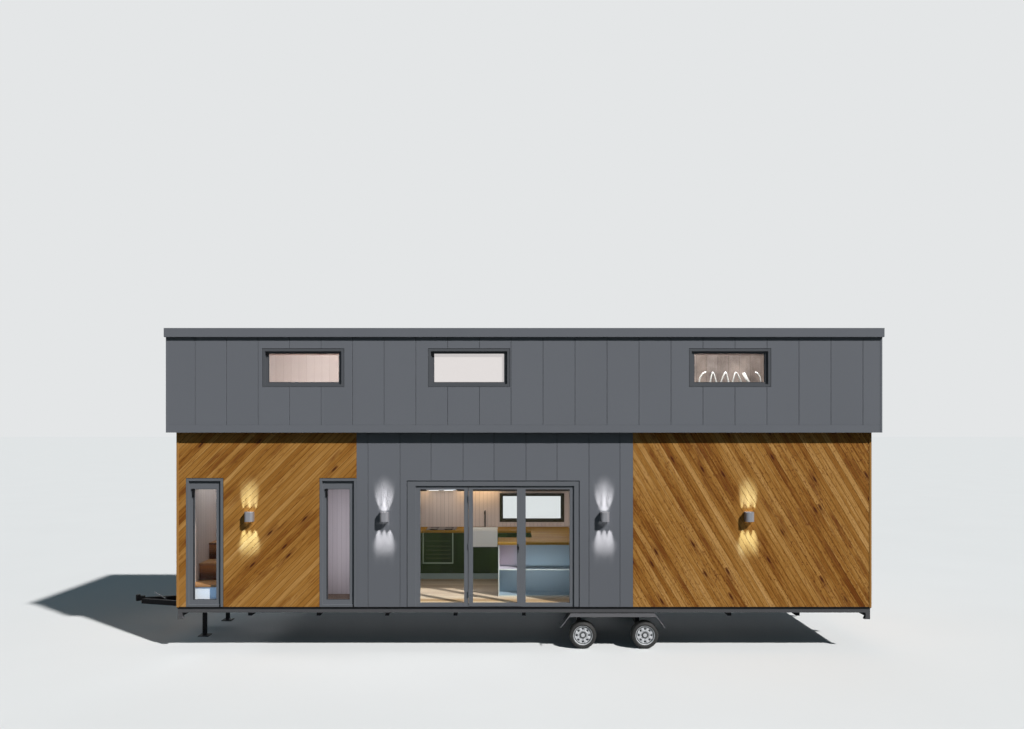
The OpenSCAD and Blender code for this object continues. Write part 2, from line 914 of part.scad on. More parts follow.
// A window standing at the origin of x and z, its outer face at y = 0 and its depth to +Y.
// Its sash is as wide as side, sill and head say beside, below and above the glass
module window_frame(w, h, depth, side, sill, head) {
    sash_t = 50;
    difference() {
        translate([-w / 2, 0, 0])
            cube([w, depth, h]);
        translate([-w / 2 + trim_w, -past, trim_w])
            cube([w - 2 * trim_w, depth + 2 * past, h - 2 * trim_w]);
    }
    difference() {
        translate([-w / 2 + trim_w - 1, sash_recess, trim_w - 1])
            cube([w - 2 * trim_w + 2, sash_t, h - 2 * trim_w + 2]);
        translate([-w / 2 + trim_w + side, sash_recess - past, trim_w + sill])
            cube([w - 2 * (trim_w + side), sash_t + 2 * past, h - 2 * trim_w - sill - head]);
    }
}

// The pane of the same window
module window_pane(w, h, side, sill, head) {
    translate([-w / 2 + trim_w + side, sash_recess + pane_setback, trim_w + sill])
        cube([w - 2 * (trim_w + side), glass_t, h - 2 * trim_w - sill - head]);
}

wall_depth = cladding_t + wall_t;
tall_window_h = tall_window_top - clad_bottom;

module window_frames() {
    color(dark_grey)
        in_body() {
            for (x = tall_x)
                translate([x, -half_w, clad_bottom])
                    window_frame(tall_window_w, tall_window_h, wall_depth, tall_sash_w, tall_sash_w,
                        tall_sash_head);
            for (x = loft_x)
                translate([x, -loft_w, loft_window_sill])
                    window_frame(loft_window_w, loft_window_h, wall_depth, sash_w, loft_sash_h, loft_sash_h);
            translate([kitchen_window_x, half_w, kitchen_window_sill])
                mirror([0, 1, 0])
                window_frame(kitchen_window_w, kitchen_window_h, wall_depth, kitchen_sash_w, kitchen_sash_w,
                    kitchen_sash_w);
        }
}

module window_glass() {
    color(glass_colour)
        in_body() {
            for (x = tall_x)
                translate([x, -half_w, clad_bottom])
                    window_pane(tall_window_w, tall_window_h, tall_sash_w, tall_sash_w,
                        tall_sash_head);
            for (x = loft_x)
                translate([x, -loft_w, loft_window_sill])
                    window_pane(loft_window_w, loft_window_h, sash_w, loft_sash_h, loft_sash_h);
            translate([kitchen_window_x, half_w, kitchen_window_sill])
                mirror([0, 1, 0])
                window_pane(kitchen_window_w, kitchen_window_h, kitchen_sash_w, kitchen_sash_w,
                    kitchen_sash_w);
            for (i = [0, 2])
                leaf_pane(i);
        }
}

frame_left = door_left + door_post_left;
frame_right = door_right - door_post_right;
frame_head = door_top - door_post_right;
frame_sill = rail_top + threshold_h;
frame_setback = 10;
leaf_setback = 20;
frame_front = -half_w + frame_setback;
leaf_front = frame_front + leaf_setback;
leaf_back = leaf_front + leaf_t;
leaf_x = [frame_left, frame_left + (frame_right - frame_left) / 3,
    frame_right - (frame_right - frame_left) / 3, frame_right];

module door_frame() {
    color(grey)
        in_body()
        difference() {
            box([door_left, frame_front, rail_top], [door_right, -room_w, door_top]);
            box([frame_left, frame_front - past, frame_sill],
                [frame_right, -room_w + past, frame_head]);
        }
}

// A glazed leaf between its stiles, shrunk by the gap on each side
module leaf(i, gap) {
    difference() {
        box([leaf_x[i] + gap, leaf_front, frame_sill + gap],
            [leaf_x[i + 1] - gap, leaf_back, frame_head - gap]);
        box([leaf_x[i] + stile_w, leaf_front - past, frame_sill + rail_w],
            [leaf_x[i + 1] - stile_w, leaf_back + past, frame_head - rail_w]);
    }
}

module leaf_pane(i) {
    pane_front = leaf_front + pane_setback;
    box([leaf_x[i] + stile_w, pane_front, frame_sill + rail_w],
        [leaf_x[i + 1] - stile_w, pane_front + glass_t, frame_head - rail_w]);
}

module sidelights() {
    color(grey)
        in_body()
        for (i = [0, 2])
            leaf(i, 0);
}

hinge_x = leaf_x[1] + leaf_gap / 2;
hinge_y = leaf_front - knuckle_r - 1;
pin_clearance = 0.05;
hinge_end_gap = 1;
hinge_plate_w = 34;
hinge_plate_t = 4;
hinge_z = [frame_sill + hinge_inset, (frame_sill + frame_head) / 2, frame_head - hinge_inset];

// A knuckle around the hinge line with its plate, which reaches left or right
module knuckle(z0, h, side) {
    translate([hinge_x, hinge_y, z0])
        cylinder(r = knuckle_r, h = h);
    translate([hinge_x + side * (hinge_plate_w + leaf_gap) / 2, leaf_front - hinge_plate_t / 2, z0 + h / 2])
        cube([hinge_plate_w, hinge_plate_t, h], center = true);
    translate([hinge_x + side * knuckle_r * 0.6, leaf_front - hinge_plate_t, z0 + h / 2])
        cube([knuckle_r * 0.7, hinge_plate_t, h], center = true);
}

// The pins on the left sidelight, each held between two knuckles
module hinge_pins() {
    color(dark_grey)
        in_body()
        for (z = hinge_z) {
            for (end = [-1, 1])
                knuckle(z - knuckle_h / 4 + end * (knuckle_h * 3 / 4 + hinge_end_gap), knuckle_h / 2, -1);
            translate([hinge_x, hinge_y, z - knuckle_h])
                cylinder(r = hinge_pin_r, h = 2 * knuckle_h, $fn = 32);
        }
}

module door_leaf() {
    color(grey)
        in_body()
        difference() {
            union() {
                leaf(1, leaf_gap);
                for (z = hinge_z)
                    knuckle(z - knuckle_h / 2, knuckle_h, 1);
            }
            for (z = hinge_z)
                translate([hinge_x, hinge_y, z - knuckle_h])
                    cylinder(r = hinge_pin_r + pin_clearance, h = 2 * knuckle_h, $fn = 32);
        }
}

module door_glass() {
    color(glass_colour)
        in_body()
        leaf_pane(1);
}

// An upright pull on the lock stile of the door leaf
module door_handle() {
    color("black")
        in_body()
        translate([leaf_x[2] - stile_w * 0.75 - handle_grip / 2, leaf_front - handle_reach, handle_z]) {
            translate([0, 0, -handle_l / 2])
                cube([handle_grip, handle_grip, handle_l]);
            for (z = [-handle_l / 2, handle_l / 2 - handle_grip])
                translate([0, 0, z])
                    cube([handle_grip, handle_reach, handle_grip]);
        }
}

lamp_x = [lamp_a_x, lamp_b_x, lamp_c_x, lamp_d_x];

// A lamp's outline from above, its back at y = 0 and its two front corners rounded
module lamp_outline() {
    translate([-lamp_w / 2, lamp_corner_r - lamp_depth])
        square([lamp_w, lamp_depth - lamp_corner_r]);
    translate([lamp_corner_r - lamp_w / 2, -lamp_depth])
        square([lamp_w - 2 * lamp_corner_r, lamp_depth]);
    for (end = [-1, 1])
        translate([end * (lamp_w / 2 - lamp_corner_r), lamp_corner_r - lamp_depth])
            circle(r = lamp_corner_r);
}

module wall_lamps() {
    color(grey)
        in_body()
        for (x = lamp_x)
            translate([x, -half_w, lamp_z - lamp_h / 2])
                linear_extrude(height = lamp_h)
                lamp_outline();
}

/* Inside */
bench_top = floor_top + bench_h;
bench_under = bench_top - worktop_t;
bench_front = room_w - bench_depth;
top_lip = 20;
units_front = bench_front + top_lip;
bar_back = bar_front + bar_depth;
sink_right = sink_left + sink_w;
sink_bottom = bench_top - sink_h;
sink_front = bench_front - sink_apron;
sink_back = room_w - sink_setback;

module kitchen_units() {
    color([0.10, 0.14, 0.09])
        in_body()
        difference() {
            union() {
                box([bench_left, units_front, floor_top], [bench_right, room_w, bench_under]);
                box([return_left + top_lip, bar_back, floor_top], [bench_right, units_front, bench_under]);
            }
            box([sink_left, 0, sink_bottom], [sink_right, sink_back, bench_top]);
        }
}

// The shelf over the back bench, on both sides of the range hood
module over_shelf() {
    z0 = bench_top + over_shelf_rise;
    hood_left = hood_x - hood_w / 2 - over_shelf_gap;
    hood_right = hood_x + hood_w / 2 + over_shelf_gap;
    color([0.10, 0.14, 0.09])
        in_body() {
            box([bench_left, room_w - over_shelf_depth, z0], [hood_left, room_w, z0 + over_shelf_t]);
            box([hood_right, room_w - over_shelf_depth, z0], [bench_right, room_w, z0 + over_shelf_t]);
        }
}

// The bar's open shelves, which face the front of the house
module bar_shelves() {
    shelf_z = floor_top + shelf_rise;
    x0 = bar_left + top_lip / 2;
    y0 = bar_front + top_lip;
    color([0.75, 0.78, 0.80])
        in_body() {
            box([x0, y0 + shelf_depth, floor_top], [bench_right, bar_back, bench_under]);
            for (x = [x0, bench_right - board_t])
                box([x, y0, floor_top], [x + board_t, y0 + shelf_depth + 1, bench_under]);
            for (z = [floor_top, shelf_z])
                box([x0, y0, z], [bench_right, y0 + shelf_depth + 1, z + board_t]);
        }
}

module worktop() {
    color([0.55, 0.38, 0.22])
        in_body()
        difference() {
            union() {
                box([bench_left, bench_front, bench_under], [bench_right, room_w, bench_top]);
                box([return_left, bar_back - 1, bench_under], [bench_right, bench_front + 1, bench_top]);
                box([bar_left, bar_front, bench_under], [bench_right, bar_back, bench_top]);
            }
            box([sink_left, 0, bench_under - past], [sink_right, sink_back, bench_top + past]);
        }
}

module sink() {
    color("white")
        in_body()
        difference() {
            box([sink_left, sink_front, sink_bottom], [sink_right, sink_back, bench_top]);
            box([sink_left + sink_t, sink_front + sink_t, sink_bottom + sink_t],
                [sink_right - sink_t, sink_back - sink_t, bench_top + past]);
        }
}

module tap() {
    tap_r = 12;
    tap_x = (sink_left + sink_right) / 2;
    tap_y = (sink_back + room_w) / 2;
    spout = 180;
    spout_drop = 50;
    color("black")
        in_body()
        translate([tap_x, tap_y, bench_top]) {
            cylinder(r = tap_r, h = tap_h);
            translate([0, 0, tap_h - tap_r])
                rotate([90, 0, 0])
                cylinder(r = tap_r, h = spout);
            translate([0, -spout + tap_r, tap_h - tap_r - spout_drop])
                cylinder(r = tap_r, h = spout_drop + tap_r);
        }
}

// The hood over the hob, with its flue up to the loft floor
module range_hood() {
    hood_h = 90;
    flue_w = 240;
    z0 = bench_top + hood_rise;
    color(dark_grey)
        in_body() {
            translate([hood_x - hood_w / 2, room_w - hood_depth, z0])
                cube([hood_w, hood_depth, hood_h]);
            translate([hood_x - flue_w / 2, room_w - flue_w, z0 + hood_h - 1])
                cube([flue_w, flue_w, loft_bottom - z0 - hood_h + 1]);
        }
}

landing_z = floor_top + lower_steps * lower_rise;
upper_rise = (loft_top - landing_z) / (upper_steps + 1);

// The lower flight climbs along the left end wall, the upper one along the back wall
module stair() {
    color([0.50, 0.34, 0.20])
        in_body() {
            for (i = [0 : lower_steps - 1])
                box([-room_l, lower_start + i * lower_going, floor_top],
                    [-room_l + stair_w, room_w, floor_top + (i + 1) * lower_rise]);
            for (i = [0 : upper_steps - 1])
                box([-room_l + stair_w + i * upper_going - 1, room_w - upper_flight_w, floor_top],
                    [-room_l + stair_w + upper_steps * upper_going, room_w,
                        landing_z + (i + 1) * upper_rise]);
        }
}

module partition() {
    y0 = -half_w + partition_setback;
    color([0.80, 0.76, 0.72])
        in_body()
        box([-room_l + stair_w + stair_gap, y0, floor_top],
            [partition_right, y0 + partition_t, loft_bottom]);
}

/* Parts list */
main_beams();
crossmembers();
side_rails();
end_rails();
corner_brackets();
drawbar();
coupling_head();
nose_legs();
brake_lever();
mudguards();
axles();
at_wheel(axle_fore_x, -1) tyre();  // tyre_front_fore
at_wheel(axle_aft_x, -1) tyre();  // tyre_front_aft
at_wheel(axle_fore_x, 1) tyre();  // tyre_back_fore
at_wheel(axle_aft_x, 1) tyre();  // tyre_back_aft
at_wheel(axle_fore_x, -1) rim();  // rim_front_fore
at_wheel(axle_aft_x, -1) rim();  // rim_front_aft
at_wheel(axle_fore_x, 1) rim();  // rim_back_fore
at_wheel(axle_aft_x, 1) rim();  // rim_back_aft
floor_deck();
front_wall_left();
front_wall_over_door();
front_wall_right();
back_wall();
end_walls();
timber_left();
timber_right();
panels_centre();
timber_back();
panels_back();
timber_ends();
loft_floor();
loft_wall_front();
loft_wall_back();
loft_walls_end();
loft_panels_front();
loft_panels_back();
loft_panels_end();
roof_deck();
roof_cap();
window_frames();
window_glass();
door_frame();
sidelights();
hinge_pins();
door_leaf();
door_glass();
door_handle();
wall_lamps();
kitchen_units();
over_shelf();
bar_shelves();
worktop();
sink();
tap();
range_hood();
stair();
partition();
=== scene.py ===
import math
import bmesh
import bpy
from mathutils import Matrix, Vector


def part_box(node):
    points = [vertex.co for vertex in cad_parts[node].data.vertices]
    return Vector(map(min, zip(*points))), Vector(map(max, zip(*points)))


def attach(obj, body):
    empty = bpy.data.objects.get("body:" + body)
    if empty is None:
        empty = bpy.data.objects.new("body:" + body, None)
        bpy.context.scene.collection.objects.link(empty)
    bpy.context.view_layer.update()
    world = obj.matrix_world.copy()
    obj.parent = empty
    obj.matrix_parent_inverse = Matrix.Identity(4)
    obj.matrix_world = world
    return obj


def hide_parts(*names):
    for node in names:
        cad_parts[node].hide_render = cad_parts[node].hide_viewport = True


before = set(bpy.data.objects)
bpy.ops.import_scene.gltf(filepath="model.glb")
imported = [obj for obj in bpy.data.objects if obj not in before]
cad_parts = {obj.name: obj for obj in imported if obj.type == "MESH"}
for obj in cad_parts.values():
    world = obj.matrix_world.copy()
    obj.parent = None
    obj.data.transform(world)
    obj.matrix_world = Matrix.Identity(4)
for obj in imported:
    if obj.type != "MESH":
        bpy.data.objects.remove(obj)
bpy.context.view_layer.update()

# Sizes taken from the frame


def box(node):
    """The low and high corners of one of the frame's nodes, to a tenth of a millimetre."""
    return [[round(value, 4) for value in corner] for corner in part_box(node)]


def extent(node, axis):
    """How long a node of the frame is along an axis."""
    low, high = box(node)
    return round(high[axis] - low[axis], 4)


def centre(node, axis):
    low, high = box(node)
    return round((low[axis] + high[axis]) / 2, 4)


BODY_X = centre("floor_deck", 0)
FLOOR_TOP = box("floor_deck")[1][2]
LEFT_END, RIGHT_END = (corner[0] for corner in box("timber_ends"))
FIELD_LEFT, CLAD_INNER, LOFT_BOTTOM = box("timber_left")[1]
FIELD_RIGHT = box("timber_right")[0][0]
CLAD_BOTTOM = box("timber_left")[0][2]
CLAD = extent("timber_left", 1)
CORE_W = -CLAD_INNER
HALF_W = CORE_W + CLAD
LOFT_LEFT, LOFT_RIGHT = (corner[0] for corner in box("loft_floor"))
LOFT_W = extent("loft_floor", 1) / 2
LOFT_TOP = box("loft_floor")[1][2]
ROOF_BOTTOM = box("roof_cap")[0][2]
ROOF_TOP = box("roof_cap")[1][2]
STAIR_LEFT, STAIR_NEAR = box("stair")[0][:2]
STAIR_FAR = box("stair")[1][1]
STAIR_RISE = 0.28
HUB_X = {row: centre(f"tyre_front_{row}", 0) for row in ("fore", "aft")}
HUB_Z = centre("tyre_front_fore", 2)
TYRE_OUTER = box("tyre_back_fore")[1][1]


def at(x):
    """Frame X of a place counted from the middle of the body."""
    return x + BODY_X


LAMP_X = [at(x) for x in (-4.35, -2.21, 1.28, 3.565)]
LAMP_Z = centre("wall_lamps", 2)

# Finishes


def channel(value):
    """One display value from 0 to 255 as linear light."""
    v = value / 255
    return v / 12.92 if v <= 0.04045 else ((v + 0.055) / 1.055) ** 2.4


def paint(red, green, blue):
    """A colour as it shows on a screen, as linear light."""
    return (channel(red), channel(green), channel(blue), 1.0)


def paints(*tones):
    """Several colours, the same way."""
    return [paint(*tone) for tone in tones]


def joins(operation, swapped=False):
    """A method of Wire that joins it to another value with a Math node."""

    def method(self, other):
        pair = (other, self) if swapped else (self, other)
        return self.nodes.math(operation, *pair)

    return method


class Wire:
    """A socket of a node; sums on it add their own Math nodes."""

    def __init__(self, nodes, socket):
        self.nodes = nodes
        self.socket = socket

    __add__ = joins("ADD")
    __radd__ = joins("ADD", swapped=True)
    __sub__ = joins("SUBTRACT")
    __rsub__ = joins("SUBTRACT", swapped=True)
    __mul__ = joins("MULTIPLY")
    __truediv__ = joins("DIVIDE")
    __gt__ = joins("GREATER_THAN")
    __lt__ = joins("LESS_THAN")


class Nodes:
    """The node tree of a material or of the world."""

    def __init__(self, owner, output):
        owner.use_nodes = True
        self.tree = owner.node_tree
        self.tree.nodes.clear()
        self.output = self.tree.nodes.new(output)

    def node(self, kind, inputs=(), settings=(), output=0):
        """One node: its settings first, then its sockets, each a number, a colour or a wire."""
        made = self.tree.nodes.new(kind)
        for key, value in dict(settings).items():
            setattr(made, key, value)
        for key, value in dict(inputs).items():
            if isinstance(value, Wire):
                self.tree.links.new(value.socket, made.inputs[key])
            else:
                made.inputs[key].default_value = value
        return Wire(self, made.outputs[output])

    def outputs(self, wire, *keys):
        """Some outputs of the node that a wire comes from."""
        return [Wire(self, wire.socket.node.outputs[key]) for key in keys]

    def math(self, operation, *values):
        return self.node("ShaderNodeMath", enumerate(values), {"operation": operation})

    def seen(self):
        """One for what the camera sees, straight, in a mirror or through glass; nothing for other light."""
        straight = self.node("ShaderNodeLightPath", output="Is Camera Ray")
        mirrored, through = self.outputs(straight, "Is Glossy Ray", "Is Transmission Ray")
        return self.math("MAXIMUM", self.math("MAXIMUM", straight, mirrored), through)

    def close(self, surface):
        self.tree.links.new(surface.socket, self.output.inputs[0])


FINISHES = {}

# Which way runs along each side of the house, seen from outside
ALONG = {"front": (0, 1.0), "back": (0, -1.0), "right": (1, 1.0), "left": (1, -1.0)}


class Finish(Nodes):
    """A surface finish built from shader nodes, kept in FINISHES under its name."""

    def __init__(self, name):
        FINISHES[name] = bpy.data.materials.new(name)
        super().__init__(FINISHES[name], "ShaderNodeOutputMaterial")
        place = self.node("ShaderNodeTexCoord", output="Object")
        self.x, self.y, self.z = self.outputs(self.node("ShaderNodeSeparateXYZ", {0: place}), 0, 1, 2)

    def run(self, side):
        """The way along one side of the house."""
        axis, sign = ALONG[side]
        return (self.x, self.y)[axis] * sign

    def noise(self, x, y, z=0.0, detail=2.0, roughness=0.5):
        where = self.node("ShaderNodeCombineXYZ", {0: x, 1: y, 2: z})
        inputs = {"Vector": where, "Scale": 1.0, "Detail": detail, "Roughness": roughness}
        return self.node("ShaderNodeTexNoise", inputs)

    def even_noise(self, scale, detail=2.0):
        """Noise of the same grain in all directions."""
        return self.noise(self.x * scale, self.y * scale, self.z * scale, detail)

    def chance(self, number):
        """A fixed random value from 0 to 1 for each whole number."""
        return self.node("ShaderNodeTexWhiteNoise", {"W": number}, {"noise_dimensions": "1D"})

    def cells(self, value):
        """The number of the whole step that a value is in, and how far from the step's middle it is."""
        return self.math("FLOOR", value), self.math("FRACT", value) - 0.5

    def marks(self, where):
        """Places scattered along a line: how far off the nearest is, and two random numbers of its own."""
        near = self.node("ShaderNodeTexVoronoi", {"W": where, "Scale": 1.0}, {"voronoi_dimensions": "1D"})
        colour = self.outputs(near, "Color")[0]
        return near, *self.outputs(self.node("ShaderNodeSeparateColor", {0: colour}), 0, 1)

    def oval(self, u, v):
        return self.math("SQRT", u * u + v * v)

    def round_hub(self, hub_x):
        """How far from a wheel's hub a place is, and at what angle round it."""
        dx = self.x - hub_x
        dz = self.z - HUB_Z
        return self.oval(dx, dz), self.math("ARCTAN2", dz, dx)

    def within(self, value, low, high, soft):
        """One between two limits, easing to nothing outside them."""
        return self.ease(value, low - soft, low) * self.ease(value, high, high + soft, 1.0, 0.0)

    def ease(self, value, low, high, to_low=0.0, to_high=1.0):
        """Runs smoothly from to_low at low to to_high at high."""
        inputs = {0: value, 1: low, 2: high, 3: to_low, 4: to_high}
        return self.node("ShaderNodeMapRange", inputs, {"interpolation_type": "SMOOTHSTEP"})

    def ramp(self, factor, places, colours):
        """Runs through the colours, each at its place."""
        made = self.node("ShaderNodeValToRGB", {0: factor})
        elements = made.socket.node.color_ramp.elements
        while len(elements) < len(colours):
            elements.new(1.0)
        for element, place, colour in zip(elements, places, colours):
            element.position = place
            element.color = colour
        return made

    def mix(self, factor, first, second):
        return self.node("ShaderNodeMix", {0: factor, 6: first, 7: second}, {"data_type": "RGBA"}, 2)

    def shade(self, colour, factor):
        """The colour made lighter or darker by a factor around one."""
        plain = colour if isinstance(colour, Wire) else colour[:3]
        return self.node("ShaderNodeVectorMath", {0: plain, "Scale": factor}, {"operation": "SCALE"})

    def cover(self, colour, roughness, relief=None, depth=0.001, gloss=0.1, **more):
        """Ends the finish with one surface; relief is a height for its bump."""
        inputs = {"Base Color": colour, "Roughness": roughness, "Specular IOR Level": gloss}
        for key, value in more.items():
            inputs[key.replace("_", " ")] = value
        if relief is not None:
            inputs["Normal"] = self.node("ShaderNodeBump", {"Distance": depth, "Height": relief})
        self.close(self.node("ShaderNodeBsdfPrincipled", inputs))

    def coat(self, colour, roughness, grain=220.0, wear=0.06, metallic=0.0, gloss=0.1, dim=None):
        """Ends the finish with paint of a fine texture and a slow drift in tone; dim darkens parts of it."""
        speck = self.even_noise(grain)
        cloud = self.even_noise(2.3, 3.0)
        factor = 1.0 - wear + speck * wear + cloud * wear
        if dim is not None:
            factor = factor * dim
        roughness = roughness + cloud * 0.12
        self.cover(self.shade(colour, factor), roughness, speck, 0.0003, gloss, Metallic=metallic)


WARM_WOOD = paints((106, 57, 17), (138, 89, 35), (160, 112, 52), (176, 130, 71), (198, 153, 95))
PALE_BOARDS = paints((214, 199, 191), (200, 184, 175), (128, 112, 104))
HALL_BOARDS = paints((200, 192, 199), (184, 175, 183), (146, 137, 145))
LOFT_BOARDS = paints((215, 205, 200), (206, 193, 187), (182, 166, 159))
LOFT_WOOD = paints((174, 160, 152), (138, 121, 109), (72, 60, 51))
GREY = (108, 111, 118)
FRAME_GREY = (104, 107, 113)


def board_finish(name, side, lay, contrast=1.0, lamp_x=None):
    """Oiled timber boards that rise at a slope along one side; some have a knot, none by the lamp."""
    slope, pitch, start = lay
    f = Finish(name)
    run = f.run(side)
    angle = math.radians(slope)
    along = run * math.cos(angle) + f.z * math.sin(angle)
    across = (f.z * math.cos(angle) - run * math.sin(angle) - start) / pitch
    number, inside = f.cells(across)
    own = f.chance(number)
    shift = own * 31.0
    band = f.noise(along * 0.22 + 7.0, across * 0.24, detail=1.0) - 0.5
    drift = f.noise(along * 0.7 + shift, number * 4.7) - 0.5
    streak = f.noise(along * 0.9 + shift, across * 3.0, own, 3.0, 0.6) - 0.5
    grain = f.noise(along * 5.0, across * 11.0, own) - 0.5
    fleck = f.noise(along * 7.0 + shift, across * 4.5, own, 1.0)
    calm = 1.0
    if lamp_x is not None:
        calm = f.ease(f.oval((run - lamp_x) / 0.30, (f.z - LAMP_Z) / 0.75), 0.5, 1.0, 0.25, 1.0)
    unlike = (own - 0.5) * 0.38 + band * 0.8 + drift * 0.5 + streak * 0.9 + grain * 0.7
    tone = 0.525 + unlike * contrast * calm
    colour = f.ramp(tone, (0.08, 0.30, 0.50, 0.70, 0.94), WARM_WOOD)
    away, lot, place = f.marks(along * 1.3 + shift)
    aside = inside - (place - 0.5) * 0.4
    rough = f.ease(band, -0.02, 0.06, 1.0, 0.0) * calm
    smear = f.ease(f.oval(away / 0.42, aside / 0.55), 0.1, 1.0, 0.85, 0.0) * (lot > 0.5) * rough
    knot = f.ease(f.oval(away / 0.11, aside / 0.28), 0.35, 1.0, 0.95, 0.0) * (lot > 0.80) * rough
    colour = f.mix(smear * (0.7 + streak * 2.0), colour, paint(104, 55, 22))
    colour = f.mix(f.ease(fleck, 0.58, 0.70) * rough * 0.55, colour, paint(104, 52, 22))
    colour = f.mix(knot, colour, paint(66, 30, 14))
    if contrast > 0.9:
        speckle = f.noise(along * 24.0, across * 3.4, own, 1.0)
        share = f.ease(speckle, 0.56, 0.72) * (calm * 0.45 + rough * 0.25)
        colour = f.mix(share, colour, paint(100, 52, 22))
    # Painted shade in the grooves: each board's colour darkens towards its edges
    groove_shade = f.ease(f.math("ABSOLUTE", inside), 0.40, 0.5, 1.0, 0.58)
    f.cover(f.shade(colour, groove_shade), 0.56 + streak * 0.14, streak * 0.6 + grain * 0.4, 0.0012)


def panel_finish(name, side, pitch, start, fade=0.0):
    """Painted sheet panels; each differs a little from the next, and fade darkens their lower parts."""
    f = Finish(name)
    own = f.chance(f.math("FLOOR", (f.run(side) - start) / pitch))
    cloud = f.even_noise(0.8, 3.0)
    speck = f.even_noise(140.0, 1.0)
    factor = 0.93 + own * 0.03 + cloud * 0.07 + speck * 0.04 - f.ease(f.z, 1.0, 3.0, fade, 0.0)
    f.cover(f.shade(paint(*GREY), factor), 0.5 + cloud * 0.1, speck, 0.0004)


def coated(name, colour, roughness, **more):
    Finish(name).coat(paint(*colour), roughness, **more)


def frame_finish(name):
    """The windows' grey coat: darker on the loft's frames; on the kitchen window's room side, painted shade
    in dark olive.
    """
    f = Finish(name)
    # Painted shade: the room side of the kitchen window's frame is dark olive
    colour = f.mix(f.within(f.y, 0.0, 1.40, 0.001), paint(*FRAME_GREY), paint(52, 50, 34))
    f.coat(colour, 0.42, 320.0, dim=1.0 - (f.z > 3.6) * 0.33)


def shelf_finish(name):
    """The bar's pale blue paint, with a lilac cast in its upper left corner and darker in the lower bay."""
    f = Finish(name)
    corner = f.ease(f.x, at(-0.22), at(0.12), 1.0, 0.0) * f.ease(f.z, 1.12, 1.22)
    colour = f.mix(corner * 0.8, paint(167, 186, 199), paint(212, 190, 200))
    f.coat(colour, 0.5, 90.0, dim=f.ease(f.z, 1.12, 1.20, 0.80, 1.0))


def plank_finish(name, run_axis, across_axis, pitch, tones, roughness=0.5, gap=0.004):
    """Straight boards; run_axis is the way they run and across_axis the way they are counted."""
    f = Finish(name)
    axes = (f.x, f.y, f.z)
    along = axes[run_axis]
    across = axes[across_axis]
    number, inside = f.cells(across / pitch)
    own = f.chance(number)
    seam = f.ease(f.math("ABSOLUTE", inside), 0.5 - gap / pitch, 0.5)
    drift = f.noise(along * 1.3 + own * 23.0, number * 3.1)
    streak = f.noise(along * 2.5 + own * 17.0, across * 60.0, own, 3.0)
    tone = own * 0.40 + drift * 0.30 + streak * 0.30
    *board_tones, seam_tone = paints(*tones)
    colour = f.mix(seam * 0.75, f.ramp(tone, (0.15, 0.5, 0.85), board_tones), seam_tone)
    f.cover(colour, roughness + streak * 0.12, streak * 0.3 - seam * 2.0, 0.0015)


def lining_finish(name, across_axis, outer=None, tones=PALE_BOARDS, pitch=0.075, drift=0.0):
    """Pale upright boards inside; further out than outer, the wall is dark sheathing."""
    f = Finish(name)
    across, off_middle = (f.x, f.y) if across_axis == 0 else (f.y, f.x - BODY_X)
    number, inside = f.cells(across / pitch)
    own = f.chance(number)
    seam = f.ease(f.math("ABSOLUTE", inside), 0.5 - 0.004 / pitch, 0.5)
    streak = f.noise(across * 60.0, f.z * 2.2 + own * 19.0, own, 3.0)
    pale, mid, dark = tones
    colour = f.mix(own * 0.45 + streak * 0.55, pale, mid)
    colour = f.mix(seam * 0.8, colour, dark)
    if drift:
        stain = f.noise(across * 2.4, f.z * 2.2, detail=3.0) - 0.5
        colour = f.shade(colour, 1.0 + stain * drift)
    if outer is not None:
        colour = f.mix(f.math("ABSOLUTE", off_middle) > outer, colour, paint(30, 31, 33))
    f.cover(colour, 0.55 + streak * 0.1, streak * 0.2 - seam, 0.0012)


def floor_finish(name):
    """Wide oak boards along the house, with a painted pale sheen of reflected light by the door, painted
    shade in the hall and towards the back; dark sheet underneath.
    """
    f = Finish(name)
    number, inside = f.cells((f.y + 5.0) / 0.19)
    piece, along = f.cells(f.x / 1.9 + f.chance(number) * 7.0)
    own = f.chance(number * 13.0 + piece)
    side_seam = f.ease(f.math("ABSOLUTE", inside), 0.485, 0.5)
    end_seam = f.ease(f.math("ABSOLUTE", along), 0.4985, 0.5)
    seam = f.math("MAXIMUM", side_seam, end_seam)
    streak = f.noise(f.x * 2.0 + own * 17.0, f.y * 45.0, own, 4.0)
    oak = paints((182, 146, 104), (212, 180, 138), (238, 214, 178))
    colour = f.ramp(own * 0.5 + streak * 0.5, (0.2, 0.5, 0.8), oak)
    hall_left = at(-4.48)
    hall_right = at(-2.0)
    # Painted shade: the hall's boards are mixed towards a dark red brown
    colour = f.mix(f.within(f.x, hall_left, hall_right, 0.001) * 0.88, colour, paint(70, 44, 38))
    colour = f.mix(seam * 0.8, colour, paint(96, 70, 46))
    # Painted sheen: the boards by the door are mixed towards a pale tone that stands in for reflected light
    sheen = f.ease(f.y, -1.15, -0.85, 0.0, 0.40) * f.ease(f.y, -0.35, 0.35, 1.0, 0.15)
    colour = f.mix(sheen * (f.x > hall_right), colour, paint(240, 232, 222))
    # Painted shade: the boards grow darker towards the back of the room
    colour = f.shade(colour, f.ease(f.y, -0.4, 0.65, 0.98, 0.46))
    colour = f.mix(f.z < FLOOR_TOP - 0.02, colour, paint(28, 28, 29))
    f.cover(colour, 0.42 + streak * 0.15, streak * 0.3 - seam, gloss=0.5)


def stair_finish(name):
    """Glossy stair boards, each riser painted dark at its foot, with a painted highlight under the tread."""
    f = Finish(name)
    level = f.math("FRACT", (f.z - FLOOR_TOP) / STAIR_RISE)
    streak = f.noise(f.x * 3.0, f.y * 3.0, f.z * 60.0, 3.0)
    # Painted highlight and shade: each riser runs from dark at its foot to light under the tread
    colour = f.mix(f.ease(level + streak * 0.3, 0.35, 0.95), paint(84, 44, 20), paint(176, 116, 66))
    f.cover(colour, 0.3 + streak * 0.12, streak, 0.0006)


